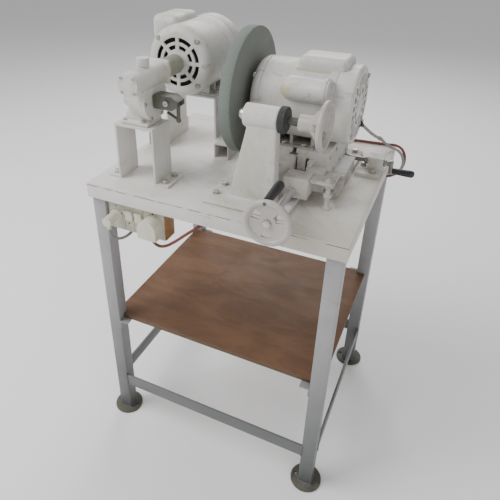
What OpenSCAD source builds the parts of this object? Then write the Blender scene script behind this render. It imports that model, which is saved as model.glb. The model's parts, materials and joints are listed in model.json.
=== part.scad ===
// Faceting machine: a worm-geared work head and a tailstock hold the stone on one axis,
// and a motor-driven grinding wheel on a cross slide is fed to it. All on a steel table.
// Millimetres. Origin on the floor under the middle of the table, +X right, +Y back, +Z up.

/* [Table] */
// Width of the table top
table_w = 610; // [600:1:620]
// Depth of the table top
table_d = 527; // [520:1:534]
// Height of the table top above the floor
table_h = 765; // [740:5:790]
// Thickness of the top plate
plate_t = 4; // [3:1:5]
// Side of the square leg tube
leg_w = 34; // [30:1:36]
// Diameter of each foot disc
foot_d = 80; // [78:1:90]
// Thickness of each foot disc
foot_t = 6; // [5:1:10]
// Diameter of the anchor hole in each foot
anchor_d = 8; // [6:1:9]
// Height of the shelf's upper face
shelf_z = 364; // [300:1:450]

/* [Spindles] */
// Height of the work axis above the table
work_rise = 192; // [188:1:196]
// Distance of the work axis in front of the table's middle
work_y = 172; // [170:1:174]
// Diameter of the dop holes in the head and the quill
dop_d = 8; // [6:0.5:8]

/* [Motors] */
// Diameter of the motor shells
motor_d = 165; // [163:1:166]
// Height of a motor's axis over its foot
motor_rise = 89; // [88:0.5:90]
// Diameter of the motor shafts
motor_shaft_d = 19; // [16:1:20]
// Diameter of the grinding wheel
wheel_d = 280; // [250:5:284]
// Thickness of the grinding wheel
wheel_t = 25; // [18:1:26]

/* [Hidden] */
$fn = 48;

WHITE = "gainsboro";
STEEL = "silver";
BLACK = "dimgray";

// table
top_z = table_h;
under_z = table_h - plate_t;
angle_leg = 32;
angle_t = 4;
leg_x = table_w / 2 - 7;
leg_y = table_d / 2 - 6.5;
leg_wall = 2;
leg_cx = leg_x - leg_w / 2;
leg_cy = leg_y - leg_w / 2;
anchor_in = 29;
bar_z = 108;
bar_h = 37;
bar_t = 6;
shelf_t = 12;
shelf_x = 287;
shelf_front = -238;
shelf_back = 233;
cleat_w = 25;
cleat_t = 3;

// axes
axis_z = table_h + work_rise;
axis_y = -work_y;
worm_x = -178;
worm_rise = 47;
worm_z = axis_z + worm_rise;

// motors
motor_r = motor_d / 2;
shaft_r = motor_shaft_d / 2;
motor1_y = -42;
motor1_len = 192;
motor2_x = 25;
motor2_y = -24;
motor2_len = 220;
bell_front = 22;
bell_rear = 40;
stator_r = 46;
rod_r = 72;

// cross slide
rail_z = table_h + 35;
saddle_top = table_h + 73;
slide_top = axis_z - motor_rise;
x_screw_y = 90;
x_screw_z = table_h + 25;
y_screw_x = 154;
y_screw_z = table_h + 34;
gap = 0.2;

// fastener sizes
m8_head = 15;
m8_head_h = 5.5;
m8_hole = 8.6;
m6_head = 11.5;
m6_head_h = 4;

function mirrored(v) = [for (sx = [-1, 1], sy = [-1, 1]) [sx * v[0], sy * v[1]]];

// table bolts: bracket, tailstock, slide base and screw block
bracket_bolts = [[-135, -152], [-135, -192], [-265, -152], [-265, -192]];
tail_bolts = [[-6, -190], [-6, -145], [150, -207], [150, -122]];
base_bolts = [[78, 160], [218, 160], [78, 100], [218, 100], [78, -74], [218, -74]];
block_bolts = [[253, 97], [282, 60]];

// gearbox, from its worm and wheel
bracket_top = axis_z - 57;
bracket_t = 5;
wheel_r = 34.8;
worm_r = 11.5;
teeth = 44;
worm_shaft_r = 7;
output_r = 8;
bearing_r = 16;
run = 0.06;
gear_bolts = [[-228, -194], [-182, -194], [-228, -150], [-182, -150]];
head_half = 15;
dop_r = dop_d / 2;

// motor feet, in a motor's own frame: X is its axis, 0 its front face
foot_bolts = [[80, -58], [80, 58], [124, -58], [124, 58]];
foot_plate_t = 4;

// front end of the Y feed: handwheel and grip
hand_y = -300;
hand_rim = 43.5;
rim_r = 6.5;
grip_turn = 7;
crank_r = 24;
crank_turn = -64;

// tailstock
tail_base_t = 8;
quill_r = 12;
tail_screw_r = 8;
tail_wheel_x = 213;

// socket board
plate_y = -250;
board_z = table_h - 113;
rocker_x = [-203, -177];
rocker_z = table_h - 69;
rocker_tilt = 7;
socket_z = table_h - 75;

// leads: each list is the middle of the cord, from the motor to the plug
lead_r = 3.5;
upper_route = [
    [246.5, 12, 905], [250, 28, 896], [256, 60, 876], [262, 95, 855], [268, 148, 828]
];
lower_route = [
    [276, 196, 803], [281, 214, 790], [289, 227, 779.5], [301, 232, 772.5], [316, 229, 768.5],
    [328, 222, 759], [334, 214, 745], [332, 206, 730], [323, 201, 719], [309, 200, 714.5],
    [294, 201, 716.5], [280, 202.5, 724], [268, 204, 735], [255, 205, 745.5], [240, 205, 751.5],
    [222, 205, 753], [160, 205, 753], [90, 205, 753], [20, 205, 753], [-50, 205, 753],
    [-120, 205, 753], [-160, 203, 753], [-187, 193, 753], [-204, 172, 753], [-210, 140, 753],
    [-210, 70, 753], [-210, 0, 753], [-210, -70, 753], [-210, -130, 753], [-210, -160, 750],
    [-210.5, -184, 738], [-211, -197, 717], [-213, -201, 692], [-215, -202, 667],
    [-217, -205, 650], [-219, -214, 636], [-223, -232, 627.5], [-228, -253, 628],
    [-233, -270, 636], [-237, -281, 650], [-238, -284, 669]
];
motor1_route = [
    [-97.5, 130, 958], [-88, 131, 951], [-80, 134, 933], [-76, 140, 895], [-74, 150, 840],
    [-71, 162, 805], [-62, 177, 781], [-44, 194, 770.5], [-15, 210, 769], [40, 229, 769],
    [100, 240, 769], [160, 248, 769], [215, 254, 769], [262, 258, 769], [284, 259, 769.3],
    [303, 258, 771], [320, 253, 766.5], [331, 244, 755], [335, 233, 740], [332, 224, 724],
    [322, 215, 711], [307, 207, 704], [291, 199, 704], [276, 193, 711], [263, 188, 722],
    [251, 184, 735], [238, 181, 745.5], [220, 179, 752], [190, 176, 753], [158, 171, 753],
    [132, 155, 753], [111, 127, 753], [97, 94, 753], [82, 52, 753], [62, 0, 753], [45, -50, 753],
    [34, -100, 753], [27, -150, 753], [22, -185, 752], [12, -214, 745], [-3, -236, 730],
    [-22, -250, 713], [-48, -257, 691], [-74, -262, 668], [-93, -266, 654], [-109, -268, 648],
    [-122, -268, 650], [-131, -268, 659]
];
grey_clips = [[160, 205], [20, 205], [-120, 205], [-210, 70], [-210, -70]];
red_clips = [[190, 176, 7], [82, 52, 70], [34, -100, 80]];

// plain helpers
module box(low, high) translate(low) cube(high - low);
module rod_x(at, r, len) translate(at) rotate([0, 90, 0]) cylinder(r = r, h = len);
module rod_y(at, r, len) translate(at) rotate([-90, 0, 0]) cylinder(r = r, h = len);
module rod_z(at, r, len) translate(at) cylinder(r = r, h = len);
module prism_x(x0, x1) translate([x0, 0, 0]) rotate([90, 0, 90]) linear_extrude(x1 - x0) children();
module prism_y(y0, y1) translate([0, y1, 0]) rotate([90, 0, 0]) linear_extrude(y1 - y0) children();
module holes(points, r, z0, z1) for (p = points) rod_z([p[0], p[1], z0], r, z1 - z0);

// a hexagon-head bolt with a washer, its seat at z0, and a nut under z1
module hex_bolt(p, z0, z1) {
    rod_z([p[0], p[1], z1 - 8], 4, z0 - z1 + 10);
    rod_z([p[0], p[1], z0], 8.2, 1.6);
    translate([p[0], p[1], z0 + 1.6]) cylinder(d = m8_head, h = m8_head_h, $fn = 6);
    translate([p[0], p[1], z1 - 6.5]) cylinder(d = m8_head, h = 6.5, $fn = 6);
}

// an M6 screw whose head sits at z0 and whose shank goes down by len
module m6_screw(p, z0, len) {
    rod_z([p[0], p[1], z0 - len], 3, len + 1);
    translate([p[0], p[1], z0]) cylinder(d = m6_head, h = m6_head_h, $fn = 6);
}

// a tube of radius r along the points, as one closed polyhedron
function unit(v) = v / norm(v);
function heading(p, i) = unit(p[min(i + 1, len(p) - 1)] - p[max(i - 1, 0)]);
function ring(p, i, r, n) =
    let (t = heading(p, i), a = unit(cross(t, [0.36, 0.48, 0.8])), b = cross(t, a))
    [for (k = [0:n - 1]) p[i] + r * (cos(360 * k / n) * a + sin(360 * k / n) * b)];
module tube(p, r, n = 8) {
    last = len(p) - 1;
    polyhedron(
        points = [for (i = [0:last]) each ring(p, i, r, n)],
        faces = concat(
            [[for (k = [0:n - 1]) k]],
            [for (i = [0:last - 1], k = [0:n - 1])
                [i * n + k, (i + 1) * n + k, (i + 1) * n + (k + 1) % n, i * n + (k + 1) % n]],
            [[for (k = [0:n - 1]) last * n + n - 1 - k]]
        )
    );
}

// ---- table ----
module table_top() color(WHITE) difference() {
    box([-table_w / 2, -table_d / 2, under_z], [table_w / 2, table_d / 2, top_z]);
    holes(concat(bracket_bolts, tail_bolts, base_bolts, block_bolts), m8_hole / 2, under_z - 1, top_z + 1);
}

module apron_rails() color(WHITE) difference() {
    low = under_z - angle_leg;
    for (side = [0, 180]) rotate([0, 0, side]) {
        prism_x(-table_w / 2, table_w / 2) translate([-table_d / 2, 0]) {
            translate([0, low]) square([angle_t, angle_leg]);
            translate([0, under_z - angle_t]) square([angle_leg, angle_t]);
        }
        box([-table_w / 2, -table_d / 2 + angle_t + gap, low],
            [-table_w / 2 + angle_t, table_d / 2 - angle_t - gap, under_z]);
        box([-table_w / 2, -table_d / 2 + angle_leg + gap, under_z - angle_t],
            [-table_w / 2 + angle_leg, table_d / 2 - angle_leg - gap, under_z]);
    }
    // the outer bolt of the screw block also goes through the angle
    holes([block_bolts[1]], m8_hole / 2, low, under_z + 1);
}

module leg_tubes() color(WHITE) for (p = mirrored([leg_cx, leg_cy])) difference() {
    box([p[0] - leg_w / 2, p[1] - leg_w / 2, foot_t], [p[0] + leg_w / 2, p[1] + leg_w / 2, under_z - angle_t]);
    box([p[0] - leg_w / 2 + leg_wall, p[1] - leg_w / 2 + leg_wall, foot_t - 1],
        [p[0] + leg_w / 2 - leg_wall, p[1] + leg_w / 2 - leg_wall, under_z]);
}

module foot_plates() color(WHITE) for (sx = [-1, 1], sy = [-1, 1]) difference() {
    rod_z([sx * leg_cx, sy * leg_cy, 0], foot_d / 2, foot_t);
    rod_z([sx * (leg_cx - anchor_in), sy * leg_cy, -1], anchor_d / 2, foot_t + 2);
}

module stretchers_and_cleats() color(WHITE) {
    inner_x = leg_x - leg_w;
    inner_y = leg_y - leg_w;
    for (side = [0, 180]) rotate([0, 0, side]) {
        box([-inner_x, -leg_y, bar_z], [inner_x, -leg_y + bar_t, bar_z + bar_h]);
        box([-leg_x, -inner_y, bar_z], [-leg_x + bar_t, inner_y, bar_z + bar_h]);
        for (sy = [-1, 1]) {
            y0 = sy * leg_cy - leg_w / 2;
            low = shelf_z - shelf_t - cleat_w;
            prism_y(y0, y0 + leg_w) translate([-inner_x, low]) {
                square([cleat_t, cleat_w]);
                translate([0, cleat_w - cleat_t]) square([cleat_w, cleat_t]);
            }
        }
    }
}

module shelf_board() color("saddlebrown") difference() {
    box([-shelf_x, shelf_front, shelf_z - shelf_t], [shelf_x, shelf_back, shelf_z]);
    for (p = mirrored([leg_cx, leg_cy]))
        box([p[0] - leg_w / 2 - 1, p[1] - leg_w / 2 - 1, shelf_z - shelf_t - 1],
            [p[0] + leg_w / 2 + 1, p[1] + leg_w / 2 + 1, shelf_z + 1]);
}

// ---- fasteners fixed to the table ----
stand_bolts = [[-84, 30], [-84, 92], [-270, 30], [-270, 92]];
stand_tube_h = 40;
module hex_bolts() color(STEEL) {
    for (p = bracket_bolts) hex_bolt(p, top_z + bracket_t, under_z);
    for (p = tail_bolts) hex_bolt(p, top_z + tail_base_t, under_z);
    for (p = base_bolts) hex_bolt(p, top_z + 10, under_z);
    hex_bolt(block_bolts[0], top_z + 8, under_z);
    hex_bolt(block_bolts[1], top_z + 8, under_z - angle_t);
    for (p = stand_bolts) hex_bolt(p, top_z + stand_tube_h + 5, top_z + stand_tube_h - 3);
}

module small_screws() color(STEEL) {
    for (p = gear_bolts) m6_screw(p, bracket_top + 8, 20);
    for (k = [1:4]) translate([-160, axis_y, axis_z]) rotate([60 * k + 30, 0, 0])
        translate([0, 0, 42]) {
            rod_x([-12, 0, 0], 2, 13);
            rod_x([0, 0, 0], 3.5, 3);
        }
    for (k = [0:3]) translate([worm_x, -246, worm_z]) rotate([0, 90 * k + 45, 0])
        translate([0, 0, 20.5]) {
            rod_y([0, 0, 0], 1.5, 12);
            rod_y([0, -2.5, 0], 3, 2.5);
        }
    motor1_place() motor_bolts(motor1_len);
    for (p = foot_bolts) motor1_place() m6_screw(p, foot_plate_t - motor_rise, 16);
}

// ---- gearbox ----
module gearbox_bracket() color(WHITE) difference() {
    prism_y(-208, -136) polygon([
        [-283, top_z], [-246, top_z], [-246, bracket_top - bracket_t],
        [-156, bracket_top - bracket_t], [-156, top_z], [-119, top_z],
        [-119, top_z + bracket_t], [-151, top_z + bracket_t], [-151, bracket_top],
        [-251, bracket_top], [-251, top_z + bracket_t], [-283, top_z + bracket_t]
    ]);
    holes(bracket_bolts, m8_hole / 2, top_z - 1, top_z + bracket_t + 1);
    holes(gear_bolts, 3.3, bracket_top - bracket_t - 1, bracket_top + 1);
}

module gearbox_housing() color(WHITE) difference() {
    union() {
        box([-236, axis_y - 30, bracket_top], [-166, axis_y + 30, bracket_top + 8]);
        prism_y(axis_y - 15, axis_y + 15) polygon([
            [-222, bracket_top + 7], [-174, bracket_top + 7], [-172, axis_z - 30], [-204, axis_z - 16]
        ]);
        rod_x([-206, axis_y, axis_z], 42, 38);
        rod_x([-176, axis_y, axis_z], 46, 8);
        rod_x([-229, axis_y, axis_z], 24, 24);
        rod_y([worm_x, -240, worm_z], 25, 122);
        rod_z([worm_x, -185, worm_z], 12, 26);
    }
    rod_x([-200, axis_y, axis_z], 38, 33);
    rod_x([-220, axis_y, axis_z], bearing_r, 21);
    rod_y([worm_x, -241, worm_z], bearing_r, 124);
    rod_z([worm_x, -185, worm_z + 10], 5, 18);
    holes(gear_bolts, 3.3, bracket_top - 1, bracket_top + 9);
    for (k = [1:4]) translate([0, axis_y, axis_z]) rotate([60 * k + 30, 0, 0]) rod_x([-174, 0, 42], 2, 8);
    for (k = [0:3]) translate([worm_x, 0, worm_z]) rotate([0, 90 * k + 45, 0])
        rod_y([0, -241, 20.5], 1.5, 8);
}

// bolted output cover, the worm's two end covers and the breather cap
module gearbox_covers() color(WHITE) {
    difference() {
        union() {
            rod_x([-168, axis_y, axis_z], 46, 8);
            rod_x([-171, axis_y, axis_z], 22, 4);
        }
        rod_x([-172, axis_y, axis_z], bearing_r, 10);
        rod_x([-172, axis_y, axis_z], output_r + 1, 20);
        // the cover is cut away round the worm's barrel
        rod_y([worm_x, -247, worm_z], 25.2, 135);
        for (k = [1:4]) translate([0, axis_y, axis_z]) rotate([60 * k + 30, 0, 0])
            rod_x([-169, 0, 42], 2, 10);
    }
    difference() {
        rod_y([worm_x, -246, worm_z], 24, 6);
        for (k = [0:3]) translate([worm_x, 0, worm_z]) rotate([0, 90 * k + 45, 0])
            rod_y([0, -247, 20.5], 1.5, 8);
    }
    difference() {
        rod_y([worm_x, -118, worm_z], 24, 5);
        rod_y([worm_x, -119, worm_z], worm_shaft_r + 0.6, 8);
    }
    rod_z([worm_x, -185, worm_z + 26], 13.5, 17);
}

module race(r, bore, len) rotate([0, 90, 0]) difference() {
    cylinder(r = r, h = len);
    translate([0, 0, -1]) cylinder(r = bore, h = len + 2);
}

module gearbox_bearings() color(STEEL) {
    translate([-218, axis_y, axis_z]) race(bearing_r, output_r + run, 12);
    translate([-171, axis_y, axis_z]) race(bearing_r, output_r + run, 9);
    for (y = [-236, -132]) translate([worm_x, y, worm_z]) rotate([0, 0, 90])
        race(bearing_r, worm_shaft_r + run, 10);
}

module worm_shaft() color(STEEL) {
    rod_y([worm_x, -238, worm_z], worm_shaft_r, 150);
    rod_y([worm_x, -197, worm_z], worm_r - 2.6, 50);
    for (i = [0:9]) rod_y([worm_x, -196 + 5 * i, worm_z], worm_r, 2.6);
}

module worm_wheel() color("darkgoldenrod") translate([-187, axis_y, axis_z]) difference() {
    union() {
        rod_x([0, 0, 0], wheel_r, 14);
        rod_x([-3, 0, 0], 15, 17);
    }
    rod_x([-4, 0, 0], output_r, 20);
    for (k = [0:teeth - 1]) rotate([360 * k / teeth, 0, 0]) box([-1, -1.2, wheel_r - 2.4], [15, 1.2, wheel_r + 1]);
}

module output_shaft() color(STEEL) rod_x([-217, axis_y, axis_z], output_r, 83);

module work_head() color(BLACK) difference() {
    prism_y(axis_y - head_half, axis_y + head_half) translate([0, axis_z]) polygon([
        [-158, -12], [-155, -15], [-113, -15], [-98, -5.5], [-98, 5.5], [-113, 15], [-155, 15], [-158, 12]
    ]);
    rod_x([-159, axis_y, axis_z], output_r, 25);
    rod_x([-130, axis_y, axis_z], dop_r, 33);
    rod_y([-126, axis_y - head_half - 1, axis_z], 3, 13);
    rod_z([-105, axis_y, axis_z - 20], 4 + run, 15);
}

module head_screw() color(STEEL) difference() {
    union() {
        rod_y([-126, axis_y - head_half, axis_z], 3, 10.8);
        rod_y([-126, axis_y - head_half - 4, axis_z], 6, 4);
    }
    translate([-126, axis_y - head_half - 5, axis_z]) rotate([-90, 0, 0]) cylinder(r = 3.2, h = 4, $fn = 6);
}

module clamp_lever() color(BLACK) translate([-105, axis_y, axis_z]) {
    rod_z([0, 0, -40], 4, 34);
    translate([0, 0, -38]) rotate([0, -64, 0]) rod_z([0, 0, 0], 3, 30);
    translate([0, 0, -39]) sphere(r = 5.5);
}

// two hubs and the rubber spider between them
module shaft_coupling() color("olivedrab") {
    difference() {
        rod_y([worm_x, -112, worm_z], 22, 26);
        rod_y([worm_x, -113, worm_z], worm_shaft_r, 28);
    }
    rod_y([worm_x, -86, worm_z], 21, 6);
    difference() {
        rod_y([worm_x, -80, worm_z], 22, 28);
        rod_y([worm_x, -81, worm_z], shaft_r, 30);
    }
}

// ---- motors, drawn along X from their front face ----
module motor1_place() translate([worm_x, motor1_y, worm_z]) rotate([0, 0, 90]) children();
module motor2_place() translate([motor2_x, motor2_y, axis_z]) children();

// a cup of revolution about X: flat face at 0, rounded shoulder
module cup(r, depth, round) rotate([0, 90, 0]) rotate_extrude() intersection() {
    union() {
        square([r - round, depth]);
        translate([0, round]) square([r, depth]);
        translate([r - round, round]) circle(r = round);
    }
    square([r, depth]);
}

// one ring of openings in the YZ plane, cut into n by spokes
module vent_ring(r0, r1, n, spoke, depth) prism_x(-1, depth) difference() {
    circle(r = r1);
    circle(r = r0);
    for (k = [0:n - 1]) rotate([0, 0, 360 * k / n]) translate([0, -spoke / 2]) square([r1 + 1, spoke]);
}

module rod_ring(r, x0, x1) for (k = [0:3]) rotate([90 * k + 45, 0, 0]) rod_x([x0, 0, rod_r], r, x1 - x0);

module front_bell() difference() {
    union() {
        difference() {
            cup(motor_r, bell_front, 20);
            translate([4, 0, 0]) cup(motor_r - 4, bell_front, 16);
        }
        rod_x([-4, 0, 0], 20, 20);
    }
    rod_x([-5, 0, 0], shaft_r + 1.5, 30);
    rod_x([1, 0, 0], bearing_r, 20);
    vent_ring(30, 39, 8, 9, 9);
    vent_ring(46, 56, 8, 8, 9);
    rod_ring(3, -1, 20);
    rod_ring(7, -1, 4.5);
}

module rear_bell() difference() {
    union() {
        difference() {
            cup(motor_r, bell_rear, 8);
            translate([4, 0, 0]) cup(motor_r - 4, bell_rear, 6);
        }
        rod_x([0, 0, 0], 20, 18);
    }
    rod_x([4, 0, 0], bearing_r, 20);
    vent_ring(26, 38, 8, 7, 8);
    vent_ring(44, 66, 20, 6, 8);
    rod_ring(3, -1, 20);
}

module motor_end_bells(len) color(WHITE) {
    front_bell();
    translate([len, 0, 0]) mirror([1, 0, 0]) rear_bell();
    translate([2, 0, 0]) race(bearing_r, shaft_r + run, 12);
    translate([len - 17, 0, 0]) race(bearing_r, shaft_r + run, 12);
}

module motor_shell(len) color(WHITE) difference() {
    rod_x([bell_front, 0, 0], motor_r, len - bell_front - bell_rear);
    rod_x([0, 0, 0], motor_r - 2.5, len);
}

module motor_stator(len) color("chocolate") difference() {
    union() {
        rod_x([38, 0, 0], motor_r - 2.5, len - 98);
        rod_x([26, 0, 0], 66, len - 74);
    }
    rod_x([0, 0, 0], stator_r, len);
    rod_ring(2.8, 0, len);
}

// shaft, core and cooling fan; nose is how far the shaft stands out in front
module motor_rotor(len, nose) color(STEEL) {
    rod_x([-nose, 0, 0], shaft_r, len + nose - 5);
    rod_x([38, 0, 0], stator_r - 1, len - 98);
    rod_x([len - 36, 0, 0], 26, 3);
    for (k = [0:7]) rotate([45 * k, 0, 0]) box([len - 36, -1.5, 8], [len - 24, 1.5, 44]);
}

module motor_bolts(len) {
    rod_ring(2.5, 1, len + 1);
    for (k = [0:3]) rotate([90 * k + 45, 0, 0]) {
        translate([0.5, 0, rod_r]) rotate([0, 90, 0]) cylinder(d = m6_head, h = m6_head_h, $fn = 6);
        translate([len, 0, rod_r]) rotate([0, 90, 0]) cylinder(d = m6_head, h = m6_head_h, $fn = 6);
    }
}

module motor_foot() color(WHITE) difference() {
    union() {
        box([56, -66, -motor_rise], [148, 66, foot_plate_t - motor_rise]);
        for (x = [60, 90, 137]) box([x, -50, foot_plate_t - motor_rise - 1], [x + 7, 50, -46]);
    }
    rod_x([50, 0, 0], motor_r, 110);
    holes(foot_bolts, 3.3, -motor_rise - 1, foot_plate_t - motor_rise + 1);
}

// a rounded box that sits on the motor shell
module shell_box(low, high, round) difference() {
    hull() for (x = [low[0] + round, high[0] - round], y = [low[1] + round, high[1] - round],
        z = [low[2] + round, high[2] - round]) translate([x, y, z]) sphere(r = round, $fn = 32);
    rod_x([low[0] - 1, 0, 0], motor_r, high[0] - low[0] + 2);
}

module motor1_stand() color(WHITE) {
    foot_z = worm_z - motor_rise;
    tube_top = top_z + stand_tube_h;
    for (x = [-100, -293]) difference() {
        prism_y(-12, 135) translate([x, top_z]) difference() {
            square(stand_tube_h);
            translate([3, 3]) square(stand_tube_h - 6);
        }
        holes(stand_bolts, m8_hole / 2, tube_top - 5, tube_top + 1);
    }
    difference() {
        prism_y(10, 110) polygon([
            [-292, tube_top], [-244, tube_top], [-244, foot_z - 5], [-110, foot_z - 5],
            [-110, tube_top], [-62, tube_top], [-62, tube_top + 5], [-105, tube_top + 5],
            [-105, foot_z], [-249, foot_z], [-249, tube_top + 5], [-292, tube_top + 5]
        ]);
        holes(stand_bolts, m8_hole / 2, tube_top - 1, tube_top + 6);
        motor1_place() holes(foot_bolts, 3.3, -motor_rise - 8, -motor_rise + 1);
    }
}

module motor1_foot() motor1_place() motor_foot();
module motor1_shell() motor1_place() motor_shell(motor1_len);
module motor1_end_bells() motor1_place() {
    motor_end_bells(motor1_len);
    // cable gland on the rear bell
    color(WHITE) rotate([120, 0, 0]) rod_z([motor1_len - 20, 0, motor_r - 1.5], 7, 11);
}
module motor1_stator() motor1_place() motor_stator(motor1_len);
module motor1_capacitor_cover() color(WHITE) motor1_place() shell_box([24, 12, 34], [134, 82, 97], 16);
module motor1_rotor() motor1_place() motor_rotor(motor1_len, 36);
module motor2_foot() motor2_place() motor_foot();
module motor2_shell() motor2_place() motor_shell(motor2_len);
module motor2_end_bells() motor2_place() {
    motor_end_bells(motor2_len);
    // cable gland low on the rear face
    color(WHITE) rod_x([motor2_len - 2, 36, -52], 6, 3.5);
}
module motor2_stator() motor2_place() motor_stator(motor2_len);
module motor2_capacitors() color(WHITE) motor2_place() {
    difference() {
        union() {
            rod_x([97, -76, 43], 25, 75);
            translate([97, -76, 43]) sphere(r = 25);
            rod_x([160, -76, 43], 26.5, 8);
        }
        rod_x([60, 0, 0], motor_r, 120);
    }
    difference() {
        shell_box([90, -36, 50], [196, 36, 98], 14);
        rod_x([motor2_len - bell_rear, 0, 0], motor_r + 0.4, 20);
    }
}
module motor2_bolts() color(STEEL) motor2_place() {
    motor_bolts(motor2_len);
    for (p = foot_bolts) m6_screw(p, foot_plate_t - motor_rise, 14);
}
module motor2_rotor() motor2_place() motor_rotor(motor2_len, 70);

// ---- grinding wheel on motor 2 ----
wheel_x = -15;
module grinding_wheel() color("darkslategray") translate([wheel_x, motor2_y, axis_z]) difference() {
    rod_x([0, 0, 0], wheel_d / 2, wheel_t);
    rod_x([-1, 0, 0], shaft_r, wheel_t + 2);
}

module wheel_flanges() color(STEEL) translate([wheel_x, motor2_y, axis_z]) difference() {
    union() {
        rod_x([wheel_t, 0, 0], 34, 5);
        rod_x([wheel_t + 5, 0, 0], 16, 4);
        rod_x([-6, 0, 0], 34, 6);
        translate([-20, 0, 0]) rotate([0, 90, 0]) cylinder(r = 17, h = 14, $fn = 6);
    }
    rod_x([-30, 0, 0], shaft_r, 70);
}

// ---- cross slide ----
// one dovetail outline: half width at the neck and at the flare, from z0 up to z1
module dovetail(mid, neck, flare, z0, z1, grow = 0) polygon([
    [mid - neck - grow, z0], [mid + neck + grow, z0],
    [mid + flare + grow, z1 + grow], [mid - flare - grow, z1 + grow]
]);

module slide_base() color(WHITE) difference() {
    union() {
        box([64, -86, top_z], [236, 172, top_z + 10]);
        box([64, -36, top_z + 9], [236, 64, rail_z - 12]);
        prism_x(64, 236) dovetail(14, 50, 58, rail_z - 12, rail_z);
    }
    holes(base_bolts, m8_hole / 2, top_z - 1, top_z + 11);
}

// saddle: dovetail groove below along X, rail on top along Y, front boss for the Y screw
module x_slide() color(WHITE) difference() {
    union() {
        box([72, -118, rail_z - 12 + gap], [208, 108, saddle_top]);
        box([134, -159, top_z + 20], [187, -117, top_z + 66]);
        box([138, 76, top_z + 12], [166, 104, rail_z]);
        prism_y(-112, 106) {
            dovetail(138, 38, 45, saddle_top, saddle_top + 12);
            translate([100, saddle_top - 1]) square([76, 1.5]);
        }
    }
    prism_x(71, 209) dovetail(14, 50, 58, rail_z - 12, rail_z, gap);
    box([141, -118.5, top_z + 20], [169, -44, saddle_top + 13]);
    rod_y([y_screw_x, -160, y_screw_z], 6 + run, 50);
    rod_x([130, x_screw_y, x_screw_z], 6 + run, 44);
    rod_x([71, x_screw_y, x_screw_z], 7.2, 60);
    rod_x([173, x_screw_y, x_screw_z], 7.2, 36);
}

// levelling jack: bracket plate, stud with foot, and two nuts
module x_jack() color(STEEL) {
    difference() {
        union() {
            box([187, -150, top_z + 57], [238, -118, top_z + 63]);
            box([208, -118, top_z + 57], [238, -90, top_z + 63]);
        }
        rod_z([226, -140, top_z + 50], 5, 20);
    }
    rod_z([226, -140, top_z + 5], 5, 68);
    rod_z([226, -140, top_z + 0.4], 9, 4.6);
    for (z = [51, 63]) translate([226, -140, top_z + z]) difference() {
        cylinder(d = 19, h = 6, $fn = 6);
        translate([0, 0, -1]) cylinder(r = 5, h = 8);
    }
    translate([226, -140, top_z + 28]) difference() {
        cylinder(d = 19, h = 7, $fn = 6);
        translate([0, 0, -1]) cylinder(r = 5, h = 9);
    }
}

module x_screw_block() color(WHITE) difference() {
    union() {
        box([244, 46, top_z], [300, 106, top_z + 8]);
        box([265, 76, top_z], [300, 106, top_z + 38]);
    }
    rod_x([240, x_screw_y, x_screw_z], 6 + run, 70);
    holes(block_bolts, m8_hole / 2, top_z - 1, top_z + 9);
}

module x_feed_screw() color(STEEL) translate([0, x_screw_y, x_screw_z]) {
    rod_x([96, 0, 0], 6, 217);
    rod_x([256, 0, 0], 9, 8.7);
    rod_x([300.3, 0, 0], 9, 6);
    rotate([crank_turn, 0, 0]) {
        rod_x([313, 0, 0], 9, 9);
        box([313, 0, -7], [322, crank_r, 7]);
        rod_x([313, crank_r, 0], 7, 9);
        rod_x([321, crank_r, 0], 3, 48);
    }
}

module x_crank_grip() color(BLACK) translate([0, x_screw_y, x_screw_z]) rotate([crank_turn, 0, 0])
    translate([322.4, crank_r, 0]) rotate([0, 90, 0]) grip(7, 8.5, 50, 3);

// a turned grip from 0 up Z with a blind hole for its pin
module grip(r0, r1, len, pin) difference() {
    rotate_extrude() polygon([
        [0, 0], [r0, 0], [r0 + 0.3, 3], [r1, len * 0.7], [r1, len - 6],
        [r1 - 1.5, len - 2.5], [r1 - 4.5, len], [0, len]
    ]);
    translate([0, 0, -1]) cylinder(r = pin + run, h = len - 2);
}

module y_slide() color(WHITE) difference() {
    union() {
        box([62, -97, saddle_top + gap], [208, 106, slide_top]);
        box([145, -104, top_z + 25], [163, -90, saddle_top + 20]);
    }
    prism_y(-98, 107) dovetail(138, 38, 45, saddle_top, saddle_top + 12, gap);
    // the nut hangs through the saddle's channel
    rod_y([y_screw_x, -105, y_screw_z], 6 + run, 16);
    prism_y(-105, 107) translate([0, slide_top]) {
        translate([124, -15]) square([20, 6]);
        translate([129, -10]) square([10, 11]);
    }
    motor2_place() holes(foot_bolts, 3.3, -motor_rise - 12, -motor_rise + 1);
}

module y_feed_screw() color(STEEL) translate([y_screw_x, 0, y_screw_z]) {
    rod_y([0, -303, 0], 6, 253);
    rod_y([0, -280.7, 0], 7.5, 118);
    rod_y([0, -163, 0], 10, 3.7);
    rod_y([0, -117.6, 0], 9, 4);
    translate([0, -305.4, 0]) rotate([-90, 0, 0]) cylinder(r = 8, h = 5, $fn = 6);
}

// a dished handwheel whose axis is Z and whose rim is at z = 0, hub towards -Z
module handwheel(bore, hub, hub_len, dish) difference() {
    union() {
        rotate_extrude() {
            translate([hand_rim, 0]) circle(r = rim_r);
            polygon([
                [bore - 1, -dish], [hub, -dish], [hand_rim - 2, -3], [hand_rim - 2, 2],
                [hand_rim - 6, 2], [hub - 2, 5 - dish], [bore - 1, 5 - dish]
            ]);
        }
        translate([0, 0, -dish - hub_len]) cylinder(r = hub, h = hub_len + 5);
    }
    translate([0, 0, -dish - hub_len - 1]) cylinder(r = bore, h = dish + hub_len + 10);
    for (k = [0:2]) rotate([0, 0, 120 * k + 30]) translate([0, 0, -dish - 1])
        linear_extrude(dish + 4) intersection() {
            difference() {
                circle(r = 34);
                circle(r = hub + 4);
            }
            polygon([[0, 0], [60, -22], [60, 22]]);
        }
}

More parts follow.
